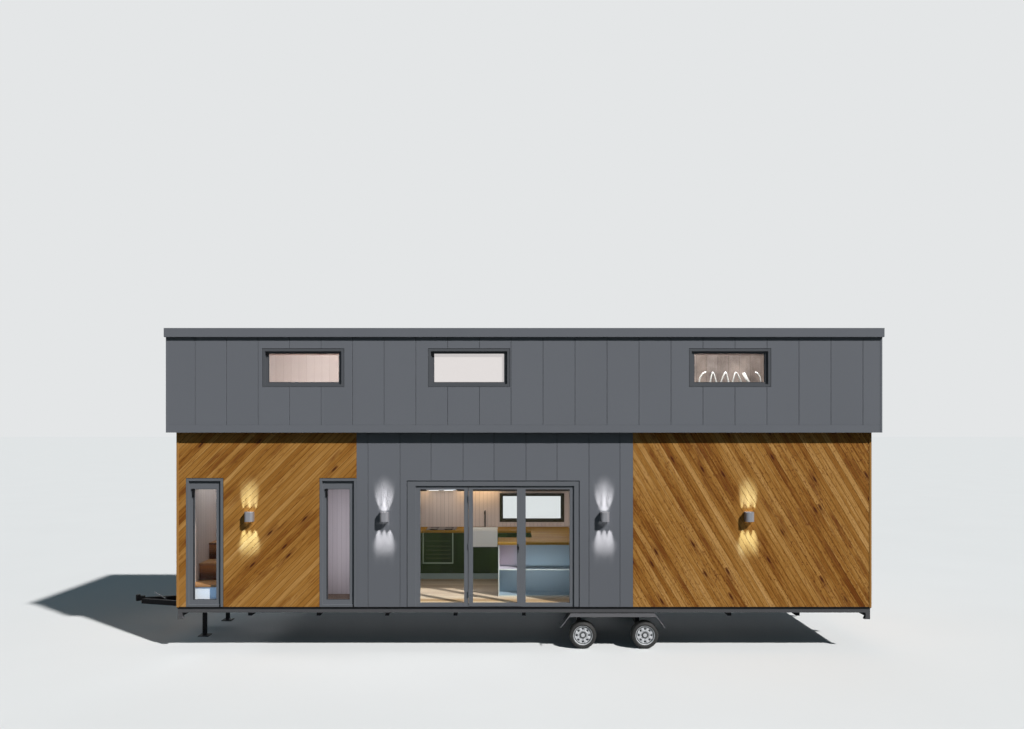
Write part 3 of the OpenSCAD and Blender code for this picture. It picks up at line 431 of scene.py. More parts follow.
def rim_finish(name, hub_x):
    """Wheel alloy: bright lip and spider, with painted shade in the well and a dark ring round the nuts."""
    f = Finish(name)
    radius, angle = f.round_hub(hub_x)
    brush = f.noise(radius * 400.0, angle * 2.0)
    shade_mottle = f.even_noise(20.0, 4.0)
    # Painted shade: a dark ring in the rim's well, and one round the nuts, mottled a little
    dark = f.math("MAXIMUM", f.within(radius, 0.128, 0.140, 0.003), f.within(radius, 0.032, 0.052, 0.003))
    colour = f.mix(dark * (0.75 + shade_mottle * 0.3), paint(206, 208, 212), paint(40, 41, 43))
    f.cover(colour, 0.3 + brush * 0.12, brush, 0.0002, 0.5, Metallic=0.35)


def tyre_finish(name, hub_x):
    """Rubber with ribs round the side wall and sipes over the tread."""
    f = Finish(name)
    radius, angle = f.round_hub(hub_x)
    tyre_middle = TYRE_OUTER - 0.0925
    sipes = 64
    skew = angle + f.math("ABSOLUTE", f.math("ABSOLUTE", f.y) - tyre_middle) * 1.4
    sipe = f.math("ABSOLUTE", f.math("FRACT", skew * (sipes / (2 * math.pi))) - 0.5)
    tread = radius > 0.2
    ribs = f.math("SINE", radius * 900.0)
    dust = f.even_noise(14.0, 4.0)
    relief = f.ease(sipe, 0.02, 0.12) * tread + (1.0 - tread) * ribs * 0.12
    colour = f.mix(dust * 0.6, paint(26, 26, 27), paint(48, 47, 46))
    f.cover(colour, 0.5 + dust * 0.2, relief, 0.003, 0.5)


def glow(name, colour, strength):
    """A lit lens or strip."""
    f = Finish(name)
    shown = f.shade(colour, 0.9 + f.even_noise(9.0) * 0.1)
    f.cover(shown, 0.4, gloss=0.5, Emission_Color=colour, Emission_Strength=strength)


def blind_finish(name):
    """Woven blind fabric with a painted glow standing in for the room's light through it; the glow also
    lightens the shade on it.
    """
    f = Finish(name)
    thread = f.math("SINE", f.x * 4200.0) * f.math("SINE", f.z * 4200.0)
    slub = f.noise(f.x * 8.0, f.y * 8.0, f.z * 160.0, 3.0)
    shown = f.shade(paint(140, 136, 135), 0.95 + slub * 0.1)
    # Painted glow: the fabric glows a pale pink white, though it is no lamp
    light = (1.0, 0.94, 0.93, 1.0)
    f.cover(shown, 0.85, thread * 0.5 + slub, 0.0003, Emission_Color=light, Emission_Strength=0.57)


def clear_glass(name, tint, sheen):
    """Thin clear glass: it lets light through and mirrors a little, more at a slant."""
    f = Finish(name)
    slant = f.node("ShaderNodeLayerWeight", {"Blend": 0.5}, output="Facing")
    through = f.node("ShaderNodeBsdfTransparent", {0: tint})
    mirror = f.node("ShaderNodeBsdfGlossy", {0: (1, 1, 1, 1), "Roughness": 0.03})
    share = slant * slant * slant * sheen + f.even_noise(1.7, 3.0) * 0.006 + 0.002
    f.close(f.node("ShaderNodeMixShader", {0: share, 1: through, 2: mirror}))


# The boards' slope in degrees, pitch and start, and the panels' pitch and start
BOARD_LEFT = (45.0, 0.077, 0.0)
BOARD_RIGHT = (121.0, 0.081, 0.0)
BACK_LEFT = (135.0, 0.077, 0.0)
BACK_RIGHT = (59.0, 0.081, 0.0)
LOFT_RUN = (0.4995, at(-5.145))
CENTRE_RUN = (0.5, at(-2.476))
END_RUN = (0.5, 0.0)

board_finish("timber_front_left", "front", BOARD_LEFT, 0.75, LAMP_X[0])
board_finish("timber_front_right", "front", BOARD_RIGHT, 1.0, LAMP_X[3])
board_finish("timber_back_left", "back", BACK_LEFT, 0.75)
board_finish("timber_back_right", "back", BACK_RIGHT)
board_finish("timber_right_end", "right", BOARD_RIGHT)
board_finish("timber_left_end", "left", BOARD_LEFT, 0.75)
panel_finish("loft_panel_front", "front", *LOFT_RUN)
panel_finish("loft_panel_back", "back", *LOFT_RUN)
panel_finish("loft_panel_end", "right", *END_RUN)
panel_finish("centre_panel", "front", *CENTRE_RUN, 0.12)
coated("band_paint", GREY, 0.5)
coated("cap_paint", GREY, 0.45)
coated("frame_paint", FRAME_GREY, 0.42, grain=320.0)
frame_finish("window_paint")
coated("rail_paint", (84, 84, 87), 0.5, wear=0.12)
coated("black_steel", (34, 34, 37), 0.5, wear=0.2)
coated("guard_paint", (108, 108, 112), 0.38, wear=0.1)
coated("lever_steel", (120, 123, 128), 0.35, metallic=0.7, wear=0.15, gloss=0.5)
coated("black_handle", (22, 22, 24), 0.35)
coated("gasket", (20, 20, 22), 0.7, grain=500.0)
coated("lamp_paint", (146, 146, 152), 0.3, metallic=0.35, grain=400.0, gloss=0.5)
glow("lamp_lens", (1.0, 0.96, 0.90, 1.0), 9.0)
clear_glass("glass", (0.982, 0.988, 0.987, 1.0), 0.6)
# The sheathing begins this far inside the cladding's back
SKIN = 0.002
lining_finish("lining_long", 0, CORE_W - SKIN)
lining_finish("hall_boards", 0, tones=HALL_BOARDS)
lining_finish("lining_end", 1, RIGHT_END - BODY_X - CLAD - SKIN)
lining_finish("loft_lining_long", 0, LOFT_W - CLAD - SKIN, LOFT_BOARDS, 0.15)
lining_finish("loft_lining_end", 1, LOFT_RIGHT - BODY_X - CLAD - SKIN, LOFT_BOARDS, 0.15)
lining_finish("ceiling", 0, pitch=0.12)
lining_finish("loft_wood", 0, None, LOFT_WOOD, 0.21, 2.4)
floor_finish("oak_floor")
for row, hub_x in HUB_X.items():
    tyre_finish(f"tyre_{row}", hub_x)
    rim_finish(f"rim_{row}", hub_x)
plank_finish("dark_green", 2, 0, 0.31, ((28, 40, 16), (52, 70, 32), (82, 98, 60), (20, 28, 14)), 0.42, 0.001)
coated("sage", (150, 166, 140), 0.45, grain=90.0)
coated("slat_paint", (84, 94, 58), 0.45, grain=90.0)
coated("kick_paint", (158, 174, 168), 0.5, grain=90.0)
bench_tones = ((120, 84, 26), (141, 103, 36), (157, 122, 49), (76, 49, 16))
plank_finish("worktop_wood", 0, 1, 0.11, bench_tones, 0.75, 0.002)
shelf_finish("shelf_paint")
# Painted shade: the shelf over the worktop is dark all over
coated("shelf_shade", (46, 42, 38), 0.55, grain=90.0)
coated("edge_paint", (190, 196, 192), 0.45, grain=90.0)
coated("white_paint", (244, 244, 244), 0.45, grain=90.0)
coated("glaze", (226, 224, 218), 0.12, grain=3.0, wear=0.03, gloss=0.5)
coated("steel", (170, 172, 176), 0.25, metallic=0.9, wear=0.1, gloss=0.5)
coated("black_glass", (18, 20, 20), 0.08, grain=3.0, gloss=0.5)
stair_finish("stair_wood")
tread_tones = ((142, 98, 60), (168, 122, 80), (188, 144, 100), (90, 58, 34))
plank_finish("tread_wood", 0, 1, 0.15, tread_tones, 0.42, 0.001)
corner_tones = ((150, 106, 56), (172, 126, 70), (186, 140, 82), (110, 72, 38))
plank_finish("corner_wood", 2, 0, 0.5, corner_tones)
glow("strip_light", (1.0, 0.76, 0.44, 1.0), 2.0)
glow("hood_light", (1.0, 0.97, 0.92, 1.0), 1.4)
blind_finish("blind")
coated("tube_paint", (222, 218, 212), 0.35, grain=90.0)

# Pieces

# Stands a flat sheet up on a side of the house
OUTWARD = {
    "front": Matrix(((1, 0, 0), (0, 0, -1), (0, 1, 0))).to_4x4(),
    "back": Matrix(((-1, 0, 0), (0, 0, 1), (0, 1, 0))).to_4x4(),
    "right": Matrix(((0, 0, 1), (1, 0, 0), (0, 1, 0))).to_4x4(),
    "left": Matrix(((0, 0, -1), (-1, 0, 0), (0, 1, 0))).to_4x4(),
}


def placed(name, data):
    """A new object in the scene."""
    made = bpy.data.objects.new(name, data)
    bpy.context.scene.collection.objects.link(made)
    return made


def block(mesh, one, other):
    """Adds a box between two opposite corners."""
    low = Vector(tuple(map(min, one, other)))
    high = Vector(tuple(map(max, one, other)))
    made = bmesh.ops.create_cube(mesh, size=1.0)["verts"]
    bmesh.ops.scale(mesh, vec=high - low, verts=made)
    bmesh.ops.translate(mesh, vec=(low + high) / 2, verts=made)
    return made


def round_edges(mesh, edges, width, segments):
    bmesh.ops.bevel(
        mesh, geom=list(edges), offset=width, offset_type="OFFSET", segments=segments, profile=0.5,
        affect="EDGES", material=-1, clamp_overlap=True,
    )


def soft_block(mesh, one, other, width=0.003, segments=2):
    """Adds a box with its edges rounded."""
    made = block(mesh, one, other)
    round_edges(mesh, {edge for vert in made for edge in vert.link_edges}, width, segments)


def rod(mesh, start, end, radius, segments):
    """Adds a round bar between two points."""
    start, end = Vector(start), Vector(end)
    run = end - start
    made = bmesh.ops.create_cone(
        mesh, cap_ends=True, segments=segments, radius1=radius, radius2=radius, depth=run.length,
    )["verts"]
    turn = run.to_track_quat("Z", "Y").to_matrix()
    bmesh.ops.rotate(mesh, verts=made, cent=(0, 0, 0), matrix=turn)
    bmesh.ops.translate(mesh, vec=(start + end) / 2, verts=made)


def turned(mesh, profile, steps, closed=True):
    """Spins a profile of radius and height round Z."""
    points = [mesh.verts.new((radius, 0.0, height)) for radius, height in profile]
    pairs = list(zip(points, points[1:]))
    if closed:
        pairs.append((points[-1], points[0]))
    lines = [mesh.edges.new(pair) for pair in pairs]
    bmesh.ops.spin(
        mesh, geom=points + lines, cent=(0, 0, 0), axis=(0, 0, 1), angle=2 * math.pi, steps=steps,
        use_merge=True,
    )


def finished(name, mesh, finish, slot, body="house", stands_for=(), smooth=False):
    """Makes the mesh one piece of the house; it stands for the frame's nodes of those names."""
    shape = bpy.data.meshes.new(name)
    mesh.to_mesh(shape)
    mesh.free()
    piece = placed(name, shape)
    shape.materials.append(FINISHES[finish])
    if smooth:
        for face in shape.polygons:
            face.use_smooth = True
    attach(piece, body)
    if stands_for:
        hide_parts(*stands_for)
    return piece


def blocks(name, finish, slot, pairs, width=0.003, segments=2, **more):
    """One piece of rounded boxes, each between two opposite corners."""
    mesh = bmesh.new()
    for one, other in pairs:
        soft_block(mesh, one, other, width, segments)
    finished(name, mesh, finish, slot, **more)


def cut(mesh, point, normal):
    """Cuts the sheet along a straight line and returns the edges on it."""
    made = bmesh.ops.bisect_plane(
        mesh, geom=mesh.verts[:] + mesh.edges[:] + mesh.faces[:], dist=1e-6,
        plane_co=(point[0], point[1], 0), plane_no=(normal[0], normal[1], 0),
    )["geom_cut"]
    return [item for item in made if isinstance(item, bmesh.types.BMEdge)]


def wall_sheet(left, right, storey, openings):
    """A flat sheet over one storey between two places along a wall, with its openings cut out."""
    bottom, top = storey
    mesh = bmesh.new()
    bmesh.ops.create_grid(mesh, x_segments=1, y_segments=1, size=0.5)
    bmesh.ops.scale(mesh, vec=(right - left, top - bottom, 1.0), verts=mesh.verts)
    bmesh.ops.translate(mesh, vec=((left + right) / 2, (bottom + top) / 2, 0.0), verts=mesh.verts)
    for x0, z0, x1, z1 in openings:
        for x in (x0, x1):
            cut(mesh, (x, 0), (1, 0))
        for z in (z0, z1):
            cut(mesh, (0, z), (0, 1))
    lost = []
    for face in mesh.faces:
        x, z = face.calc_center_median().xy
        if any(x0 < x < x1 and z0 < z < z1 for x0, z0, x1, z1 in openings):
            lost.append(face)
    bmesh.ops.delete(mesh, geom=lost, context="FACES")
    return mesh


def thicken(mesh, side, back, width):
    """Gives the sheet its thickness, eases its outer edges and stands it on its side of the house."""
    bmesh.ops.dissolve_limit(mesh, angle_limit=0.001, verts=mesh.verts, edges=mesh.edges)
    slivers = [face for face in mesh.faces if face.calc_area() < 2e-5]
    bmesh.ops.delete(mesh, geom=slivers, context="FACES")
    made = bmesh.ops.extrude_face_region(mesh, geom=mesh.faces[:], use_keep_orig=True)["geom"]
    raised = [item for item in made if isinstance(item, bmesh.types.BMVert)]
    bmesh.ops.translate(mesh, vec=(0, 0, CLAD), verts=raised)
    bmesh.ops.recalc_face_normals(mesh, faces=mesh.faces)
    outer = set(raised)
    rims = [
        edge for edge in mesh.edges
        if edge.verts[0] in outer and edge.verts[1] in outer and edge.calc_face_angle(0) > 0.5
    ]
    round_edges(mesh, rims, width, 1)
    bmesh.ops.translate(mesh, vec=(0, 0, back), verts=mesh.verts)
    bmesh.ops.transform(mesh, matrix=OUTWARD[side], verts=mesh.verts)


LOWER = (CLAD_BOTTOM, LOFT_BOTTOM)
UPPER = (LOFT_TOP, ROOF_BOTTOM)
JOINT_W = 0.005


def boards(name, side, left, right, lay, back, node, openings=()):
    """Sloping boards over a field of the lower storey; lay is their slope, pitch and start."""
    slope, pitch, start = lay
    mesh = wall_sheet(left, right, LOWER, openings)
    angle = math.radians(slope)
    normal = (-math.sin(angle), math.cos(angle))
    corners = [(x, z) for x in (left, right) for z in LOWER]
    reach = [(x * normal[0] + z * normal[1] - start) / pitch for x, z in corners]
    seams = []
    for number in range(math.ceil(min(reach)), math.floor(max(reach)) + 1):
        offset = start + number * pitch
        seams += cut(mesh, (normal[0] * offset, normal[1] * offset), normal)
    bmesh.ops.split_edges(mesh, edges=list(set(seams)))
    thicken(mesh, side, back, 0.003)
    finished(name, mesh, name, "timber", stands_for=[node])


def panels(name, side, left, right, storey, joints, finish, back, node, openings=()):
    """Upright panels with open joints; joints are the places along the wall."""
    mesh = wall_sheet(left, right, storey, openings)
    for place in joints:
        cut(mesh, (place - JOINT_W / 2, 0), (1, 0))
        cut(mesh, (place + JOINT_W / 2, 0), (1, 0))
    lost = [
        face for face in mesh.faces
        if any(abs(face.calc_center_median().x - place) < JOINT_W / 2 for place in joints)
    ]
    bmesh.ops.delete(mesh, geom=lost, context="FACES")
    thicken(mesh, side, back, 0.0015)
    finished(name, mesh, finish, "grey_panel", stands_for=[node])


def opening(x, half_w, bottom, top):
    """The left, bottom, right and top edges of an opening round a place along the front."""
    return (at(x) - half_w, bottom, at(x) + half_w, top)


def grown(edges, gap=0.005):
    """An opening a little larger than the frame that stands in it."""
    left, bottom, right, top = edges
    return (left - gap, bottom - gap, right + gap, top + gap)


# Cladding

TALL_WINDOWS = [opening(x, 0.293, CLAD_BOTTOM, 2.721) for x in (-5.072, -2.951)]
LOFT_WINDOWS = [opening(x, 0.64, 4.172, 4.769) for x in (-3.475, -0.866, 3.239)]
KITCHEN_WINDOW = opening(0.195, 0.625, 1.71, 2.27)
door_low, door_high = box("door_frame")
# The door's opening goes on below the cladding
DOOR = (door_low[0], 0.6, door_high[0], door_high[2])

boards(
    "timber_front_left", "front", LEFT_END, FIELD_LEFT, BOARD_LEFT, CORE_W, "timber_left",
    [grown(edges) for edges in TALL_WINDOWS],
)
boards("timber_front_right", "front", FIELD_RIGHT, RIGHT_END, BOARD_RIGHT, CORE_W, "timber_right")
boards("timber_back_left", "back", -FIELD_LEFT, -LEFT_END, BACK_LEFT, CORE_W, "timber_back")
boards("timber_back_right", "back", -RIGHT_END, -FIELD_RIGHT, BACK_RIGHT, CORE_W, "timber_back")
boards("timber_right_end", "right", -CORE_W, CORE_W, BOARD_RIGHT, RIGHT_END - CLAD, "timber_ends")
boards("timber_left_end", "left", -CORE_W, CORE_W, BOARD_LEFT, -LEFT_END - CLAD, "timber_ends")

# The front's joints were read off the photograph as columns and are set out in metres here
CENTRE_COLUMNS = (368, 400, 431, 463, 494, 526, 557, 589, 620)
CENTRE_JOINTS = [at((column - 524) / 63) for column in CENTRE_COLUMNS]
LOFT_COLUMNS = [195 + 31.5 * step for step in range(6)] + [384, 415.8, 447.6, 479.4, *range(511, 864, 32)]
LOFT_JOINTS = [at((column - 512) / 63.6 - 0.19) for column in LOFT_COLUMNS]
END_JOINTS = [-1.25 + 0.5 * step for step in range(6)]
LOFT_CORE = LOFT_W - CLAD
panels(
    "centre_panels", "front", FIELD_LEFT, FIELD_RIGHT, LOWER, CENTRE_JOINTS, "centre_panel", CORE_W,
    "panels_centre", [grown(DOOR, 0.011)],
)
kitchen_left, kitchen_bottom, kitchen_right, kitchen_top = KITCHEN_WINDOW
panels(
    "back_panels", "back", -FIELD_RIGHT, -FIELD_LEFT, LOWER, [-place for place in CENTRE_JOINTS],
    "centre_panel", CORE_W, "panels_back",
    [grown((-kitchen_right, kitchen_bottom, -kitchen_left, kitchen_top))],
)
panels(
    "loft_panels_front", "front", LOFT_LEFT, LOFT_RIGHT, UPPER, LOFT_JOINTS, "loft_panel_front", LOFT_CORE,
    "loft_panels_front", [grown(edges) for edges in LOFT_WINDOWS],
)
panels(
    "loft_panels_back", "back", -LOFT_RIGHT, -LOFT_LEFT, UPPER, [-place for place in LOFT_JOINTS],
    "loft_panel_back", LOFT_CORE, "loft_panels_back",
)
for side, face in (("right", LOFT_RIGHT), ("left", -LOFT_LEFT)):
    panels(
        f"loft_panels_{side}_end", side, -LOFT_CORE, LOFT_CORE, UPPER, END_JOINTS, "loft_panel_end",
        face - CLAD, "loft_panels_end",
    )


def corner_angles(name, finish, slot, ends, half_w, heights, leg, proud):
    """Upright angle strips round the outer corners of a storey."""
    low, high = heights
    pairs = []
    for x in ends:
        for y in (-half_w, half_w):
            way_x = 1 if x > BODY_X else -1
            way_y = 1 if y > 0 else -1
            pairs.append(((x - way_x * leg, y, low), (x + way_x * proud, y + way_y * proud, high)))
            pairs.append(((x, y - way_y * leg, low), (x + way_x * proud, y, high)))
    blocks(name, finish, slot, pairs, 0.0008, 1)


corner_angles(
    "loft_corner_angles", "cap_paint", "grey_panel", (LOFT_LEFT, LOFT_RIGHT), LOFT_W,
    (LOFT_BOTTOM, ROOF_BOTTOM), 0.03, 0.003,
)
corner_angles(
    "timber_corner_posts", "corner_wood", "timber", (LEFT_END, RIGHT_END), HALF_W, LOWER, 0.028, 0.006,
)

# Wall lamps

LAMP_W = 0.14
LAMP_DEPTH = extent("wall_lamps", 1)
LAMP_H = extent("wall_lamps", 2)
LAMP_CORNER = 0.052
LENS_X = 0.042
LENS_Y = -HALF_W - 0.045
LENS_SET = 0.012
LENS_R = 0.013
LENS_H = 0.004
lamp_bodies = bmesh.new()
lamp_lenses = bmesh.new()
for x in LAMP_X:
    shell = block(
        lamp_bodies, (x - LAMP_W / 2, -HALF_W - LAMP_DEPTH, LAMP_Z - LAMP_H / 2),
        (x + LAMP_W / 2, -HALF_W, LAMP_Z + LAMP_H / 2),
    )
    fore = [vert for vert in shell if vert.co.y < -HALF_W - LAMP_DEPTH / 2]
    corners = {
        edge for vert in fore for edge in vert.link_edges
        if edge.other_vert(vert) in fore and abs(edge.other_vert(vert).co.x - vert.co.x) < 1e-4
    }
    round_edges(lamp_bodies, corners, LAMP_CORNER, 12)
    for end in (-1, 1):
        for place in (-LENS_X, 0.0, LENS_X):
            foot = Vector((x + place, LENS_Y, LAMP_Z + end * (LAMP_H / 2 - LENS_SET)))
            rod(lamp_lenses, foot, foot + Vector((0, 0, end * LENS_H)), LENS_R, 20)
ends = [face for face in lamp_bodies.faces if abs(face.normal.z) > 0.9]
bmesh.ops.inset_individual(lamp_bodies, faces=ends, thickness=0.005, depth=0.0)
bmesh.ops.inset_individual(lamp_bodies, faces=ends, thickness=0.0, depth=-LENS_SET)
finished("lamp_housings", lamp_bodies, "lamp_paint", "lamp", stands_for=["wall_lamps"])
finished("lamp_lenses", lamp_lenses, "lamp_lens", "lamp")


def lamp_beam(name, place, towards, power, colour, spread, width):
    """A narrow beam that keeps its strength along the wall, as a lens makes it."""
    light = bpy.data.lights.new(name, "SPOT")
    light.energy = power
    light.color = colour
    light.spot_size = math.radians(spread)
    light.spot_blend = 1.0
    light.shadow_soft_size = 0.004
    light.use_nodes = True
    nodes = light.node_tree.nodes
    reach = nodes.new("ShaderNodeLightFalloff")
    reach.inputs["Strength"].default_value = 1.0
    light.node_tree.links.new(reach.outputs["Constant"], nodes["Emission"].inputs["Strength"])
    holder = placed(name, light)
    # Its X stays along the wall, so that a beam can be wider one way than the other
    back = -Vector(towards).normalized()
    across = Vector((0, 1, 0)).cross(back).normalized() * (1 if towards[2] < 0 else -1)
    holder.location = place
    holder.rotation_mode = "QUATERNION"
    holder.rotation_quaternion = Matrix((across, back.cross(across), back)).transposed().to_quaternion()
    holder.scale = (width, 1.0, 1.0)


def lens_beams(end, along, off, lean, tilt, powers, spread, widths):
    """The beams of the three lenses at one end of a lamp; powers and widths are middle, then sides."""
    return [
        (end, way * along, off, way * lean, tilt, powers[abs(way)], spread, widths[abs(way)])
        for way in (-1, 0, 1)
    ]


# A beam: up or down, place along the wall, distance from it, lean, tilt towards the wall, power, full angle,
# and width along the wall. A wide wash goes with the lenses' beams.
PANEL_BEAMS = lens_beams(1, 0.064, 0.056, 0.198, 0.428, (335.0, 215.0), 36.1, (0.62, 0.70))
PANEL_BEAMS.append((1, 0.0, 0.0637, 0.0, 1.522, 215.0, 61.6, 2.3))
TIMBER_BEAMS = lens_beams(1, 0.096, 0.046, 0.05, 0.47, (230.0, 240.0), 45.0, (0.52, 0.62))
BEAMS = [
    (1, 0.0, 0.35, 0.0, 1.56, 121.0, 55.6, 0.773),
    *lens_beams(-1, 0.078, 0.055, 0.052, 0.245, (490.0, 560.0), 19.6, (1.47, 1.47)),
    (-1, 0.0, 0.60, 0.0, 1.675, 53.0, 28.3, 1.316),
]
BEAM_SHIFT = -0.006
BEAM_RISE = LAMP_H / 2 + 0.005
for number, x in enumerate(LAMP_X):
    on_timber = x < FIELD_LEFT or x > FIELD_RIGHT
    colour = (0.34, 0.58, 1.0) if on_timber else (1.0, 0.93, 0.86)
    share = 1.6 if on_timber else 1.0
    beams = (TIMBER_BEAMS if on_timber else PANEL_BEAMS) + BEAMS
    for count, (end, along, off, lean, tilt, power, spread, width) in enumerate(beams):
        place = (x + BEAM_SHIFT + along, -HALF_W - off, LAMP_Z + end * BEAM_RISE)
        towards = (lean, tilt, end)
        lamp_beam(f"lamp_beam_{number}_{count}", place, towards, power * share, colour, spread, width)

# Windows

GLASS_SET = 0.048
TRIM_W = 0.04
GASKET_W = 0.006
GASKET_OVERLAP = 0.001


def gasket_ring(mesh, low, high, near, far):
    """Four strips round a window's glass; near and far are their depth in Y."""
    x0, z0 = (value - GASKET_OVERLAP for value in low)
    x1, z1 = (value + GASKET_OVERLAP for value in high)
    left = x0 + GASKET_W
    right = x1 - GASKET_W
    soft_block(mesh, (x0, near, z0), (left, far, z1), 0.001, 1)
    soft_block(mesh, (right, near, z0), (x1, far, z1), 0.001, 1)
    soft_block(mesh, (left, near, z0), (right, far, z0 + GASKET_W), 0.001, 1)
    soft_block(mesh, (left, near, z1 - GASKET_W), (right, far, z1), 0.001, 1)


def glass_edges(edges, side, sill, head):
    """The corners of a window's glass, from its outer edges and its sash widths."""
    low = (edges[0] + TRIM_W + side, edges[1] + TRIM_W + sill)
    high = (edges[2] - TRIM_W - side, edges[3] - TRIM_W - head)
    return low, high


# How wide the sashes are at their sides, sill and head
TALL_SASH = (0.075, 0.075, 0.13)
LOFT_SASH = (0.045, 0.03, 0.03)
KITCHEN_SASH = (0.02, 0.02, 0.02)
seals_and_shadow_strips = bmesh.new()
stays = bmesh.new()
front_windows = [(edges, HALF_W, TALL_SASH, 0.13) for edges in TALL_WINDOWS]
front_windows += [(edges, LOFT_W, LOFT_SASH, 0.05) for edges in LOFT_WINDOWS]
for edges, wall, sash, stay_h in front_windows:
    low, high = glass_edges(edges, *sash)
    left, top = low[0], high[1]
    face = -wall + GLASS_SET
    gasket_ring(seals_and_shadow_strips, low, high, face - GASKET_W, face + GASKET_OVERLAP)
    if wall == HALF_W:
        soft_block(seals_and_shadow_strips, (left - 0.011, face - 0.020, low[1]), (left, face - 0.017, top), 0.0008, 1)
    # A black stay at the sash's upper left corner, as the photograph shows on all but one
    if edges is not LOFT_WINDOWS[2]:
        near = face - 0.012
        soft_block(stays, (left - 0.024, face - 0.03, top - stay_h), (left + 0.006, near, top + 0.008))
        soft_block(stays, (left - 0.040, face - 0.028, top - 0.03), (left - 0.022, near, top + 0.006))
low, high = glass_edges(KITCHEN_WINDOW, *KITCHEN_SASH)
face = HALF_W - GLASS_SET
gasket_ring(seals_and_shadow_strips, low, high, face - GASKET_OVERLAP, face + GASKET_W)
# Painted shadow: the dark shadow line beside a tall window's sash goes on down through its bottom trim as a
# black strip
for edges in TALL_WINDOWS:
    right = edges[2] - TRIM_W
    low = (right - 0.020, -HALF_W - 0.002, edges[1])
    high = (right + 0.002, -HALF_W + 0.001, edges[1] + TRIM_W + 0.002)
    soft_block(seals_and_shadow_strips, low, high, 0.0008, 1)
finished("window_seals_and_shadow_strips", seals_and_shadow_strips, "gasket", "handle")
finished("window_stays", stays, "black_handle", "handle")

# Strips on the leaf's two edges cover most of the gap to the sidelights
leaf_low, leaf_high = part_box("door_leaf")
LEAF_FRONT = box("sidelights")[0][1]
blocks(
    "door_meeting_strips", "frame_paint", "window_frame",
    [
        ((x, LEAF_FRONT, leaf_low[2] + 0.004), (x + way * 0.0045, LEAF_FRONT + 0.02, leaf_high[2] - 0.004))
        for x, way in ((leaf_low[0], -1), (leaf_high[0], 1))
    ],
    0.0003, 1, body="door",
)
PLATE_HALF = 0.018
PLATE_FOOT = 1.585
PLATE_HEAD = 1.64
plate_x = centre("door_handle", 0)
plate = (
    (plate_x - PLATE_HALF, LEAF_FRONT - 0.006, PLATE_FOOT),
    (plate_x + PLATE_HALF, LEAF_FRONT + 0.001, PLATE_HEAD),
)
blocks("door_handle_plate", "black_handle", "handle", [plate], 0.002, body="door")

# Black strips between the cladding and the floor rail: painted shadow of the gap there
BASE_FOOT = 0.664
BASE_HEAD = 0.683
blocks(
    "base_shadow_strips", "gasket", "grey_panel",
    [
        ((LEFT_END, way * (HALF_W + 0.004), BASE_FOOT), (RIGHT_END, way * (HALF_W - 0.02), BASE_HEAD))
        for way in (-1, 1)
    ],
    0.0008, 1,
)

# Kitchen

UNITS_LEFT = -1.95
UNITS_RIGHT = 0.17
UNITS_FRONT = 0.745
FRONT_BOTTOM = 0.83
FRONT_TOP = 1.57
FRONT_GAP = 0.002
WORKTOP = box("worktop")[1][2]
SHELF_UNDER = box("over_shelf")[0][2]
HOOD_UNDER = box("range_hood")[0][2]


def on_units(x0, x1, z0, z1, thick, seat=0.0):
    """The corners of a box that stands out from the units' front, from seat to thick."""
    return (at(x0), UNITS_FRONT - thick, z0), (at(x1), UNITS_FRONT - seat, z1)


# Each cabinet front: its left and right edges and its top
FRONTS = [
    (UNITS_LEFT, -1.86, FRONT_TOP), (-1.86, -1.27, 1.0), (-1.27, -0.965, FRONT_TOP), (-0.96, -0.46, 1.31),
    (-0.455, UNITS_RIGHT, FRONT_TOP),
]
blocks(
    "cabinet_fronts", "dark_green", "cabinet",
    [
        on_units(left + FRONT_GAP, right - FRONT_GAP, FRONT_BOTTOM + FRONT_GAP, top - FRONT_GAP, 0.018)
        for left, right, top in FRONTS
    ],
    0.002, 1,
)
kick_board = on_units(UNITS_LEFT, UNITS_RIGHT, FLOOR_TOP, 0.824, 0.012)
blocks("kick_board", "kick_paint", "cabinet", [kick_board], 0.001, 1)

# The oven's outer edges and, inside its surround, those of its front
OVEN = (-1.852, -1.282)
OVEN_INNER = (-1.832, -1.302)
OVEN_FOOT = 1.005
OVEN_HEAD = 1.575
SURROUND = 0.03
uprights = [on_units(*sorted(pair), OVEN_FOOT, OVEN_HEAD, SURROUND) for pair in zip(OVEN, OVEN_INNER)]
sill = on_units(*OVEN_INNER, OVEN_FOOT, OVEN_FOOT + 0.022, SURROUND)
blocks("oven_surround", "sage", "cabinet", [*uprights, sill], 0.002)
oven_front = on_units(OVEN_INNER[0] + 0.002, OVEN_INNER[1] - 0.002, OVEN_FOOT + 0.025, OVEN_HEAD, 0.012)
blocks("oven_front", "dark_green", "cabinet", [oven_front], 0.002)
blocks(
    "oven_slats", "slat_paint", "cabinet",
    [on_units(-1.79, -1.345, z, z + 0.012, 0.022, 0.011) for z in (1.10, 1.175, 1.25, 1.325, 1.42)],
    0.002, 1,
)

BURNER_X = (-1.66, -1.38)
BURNER_Y = (0.91, 1.13)
BURNER_R = 0.075
BURNER_H = 0.008
HOB_TOP = WORKTOP + 0.008
hob = bmesh.new()
soft_block(hob, (at(-1.80), 0.79, WORKTOP - 0.001), (at(-1.24), 1.25, HOB_TOP))
for x in BURNER_X:
    for y in BURNER_Y:
        rod(hob, (at(x), y, HOB_TOP), (at(x), y, HOB_TOP + BURNER_H), BURNER_R, 32)
finished("hob", hob, "black_glass", "handle")
blocks(
    "strip_lights", "strip_light", "lamp",
    [
        ((at(x0), 1.27, SHELF_UNDER - 0.010), (at(x1), 1.31, SHELF_UNDER + 0.001))
        for x0, x1 in ((-1.94, -1.81), (-1.23, -0.44))
    ],
    0.002,
)
blocks(
    "hood_lights", "hood_light", "lamp",
    [
        ((at(x) - 0.09, 0.85, HOOD_UNDER - 0.008), (at(x) + 0.09, 0.93, HOOD_UNDER + 0.002))
        for x in BURNER_X
    ],
)

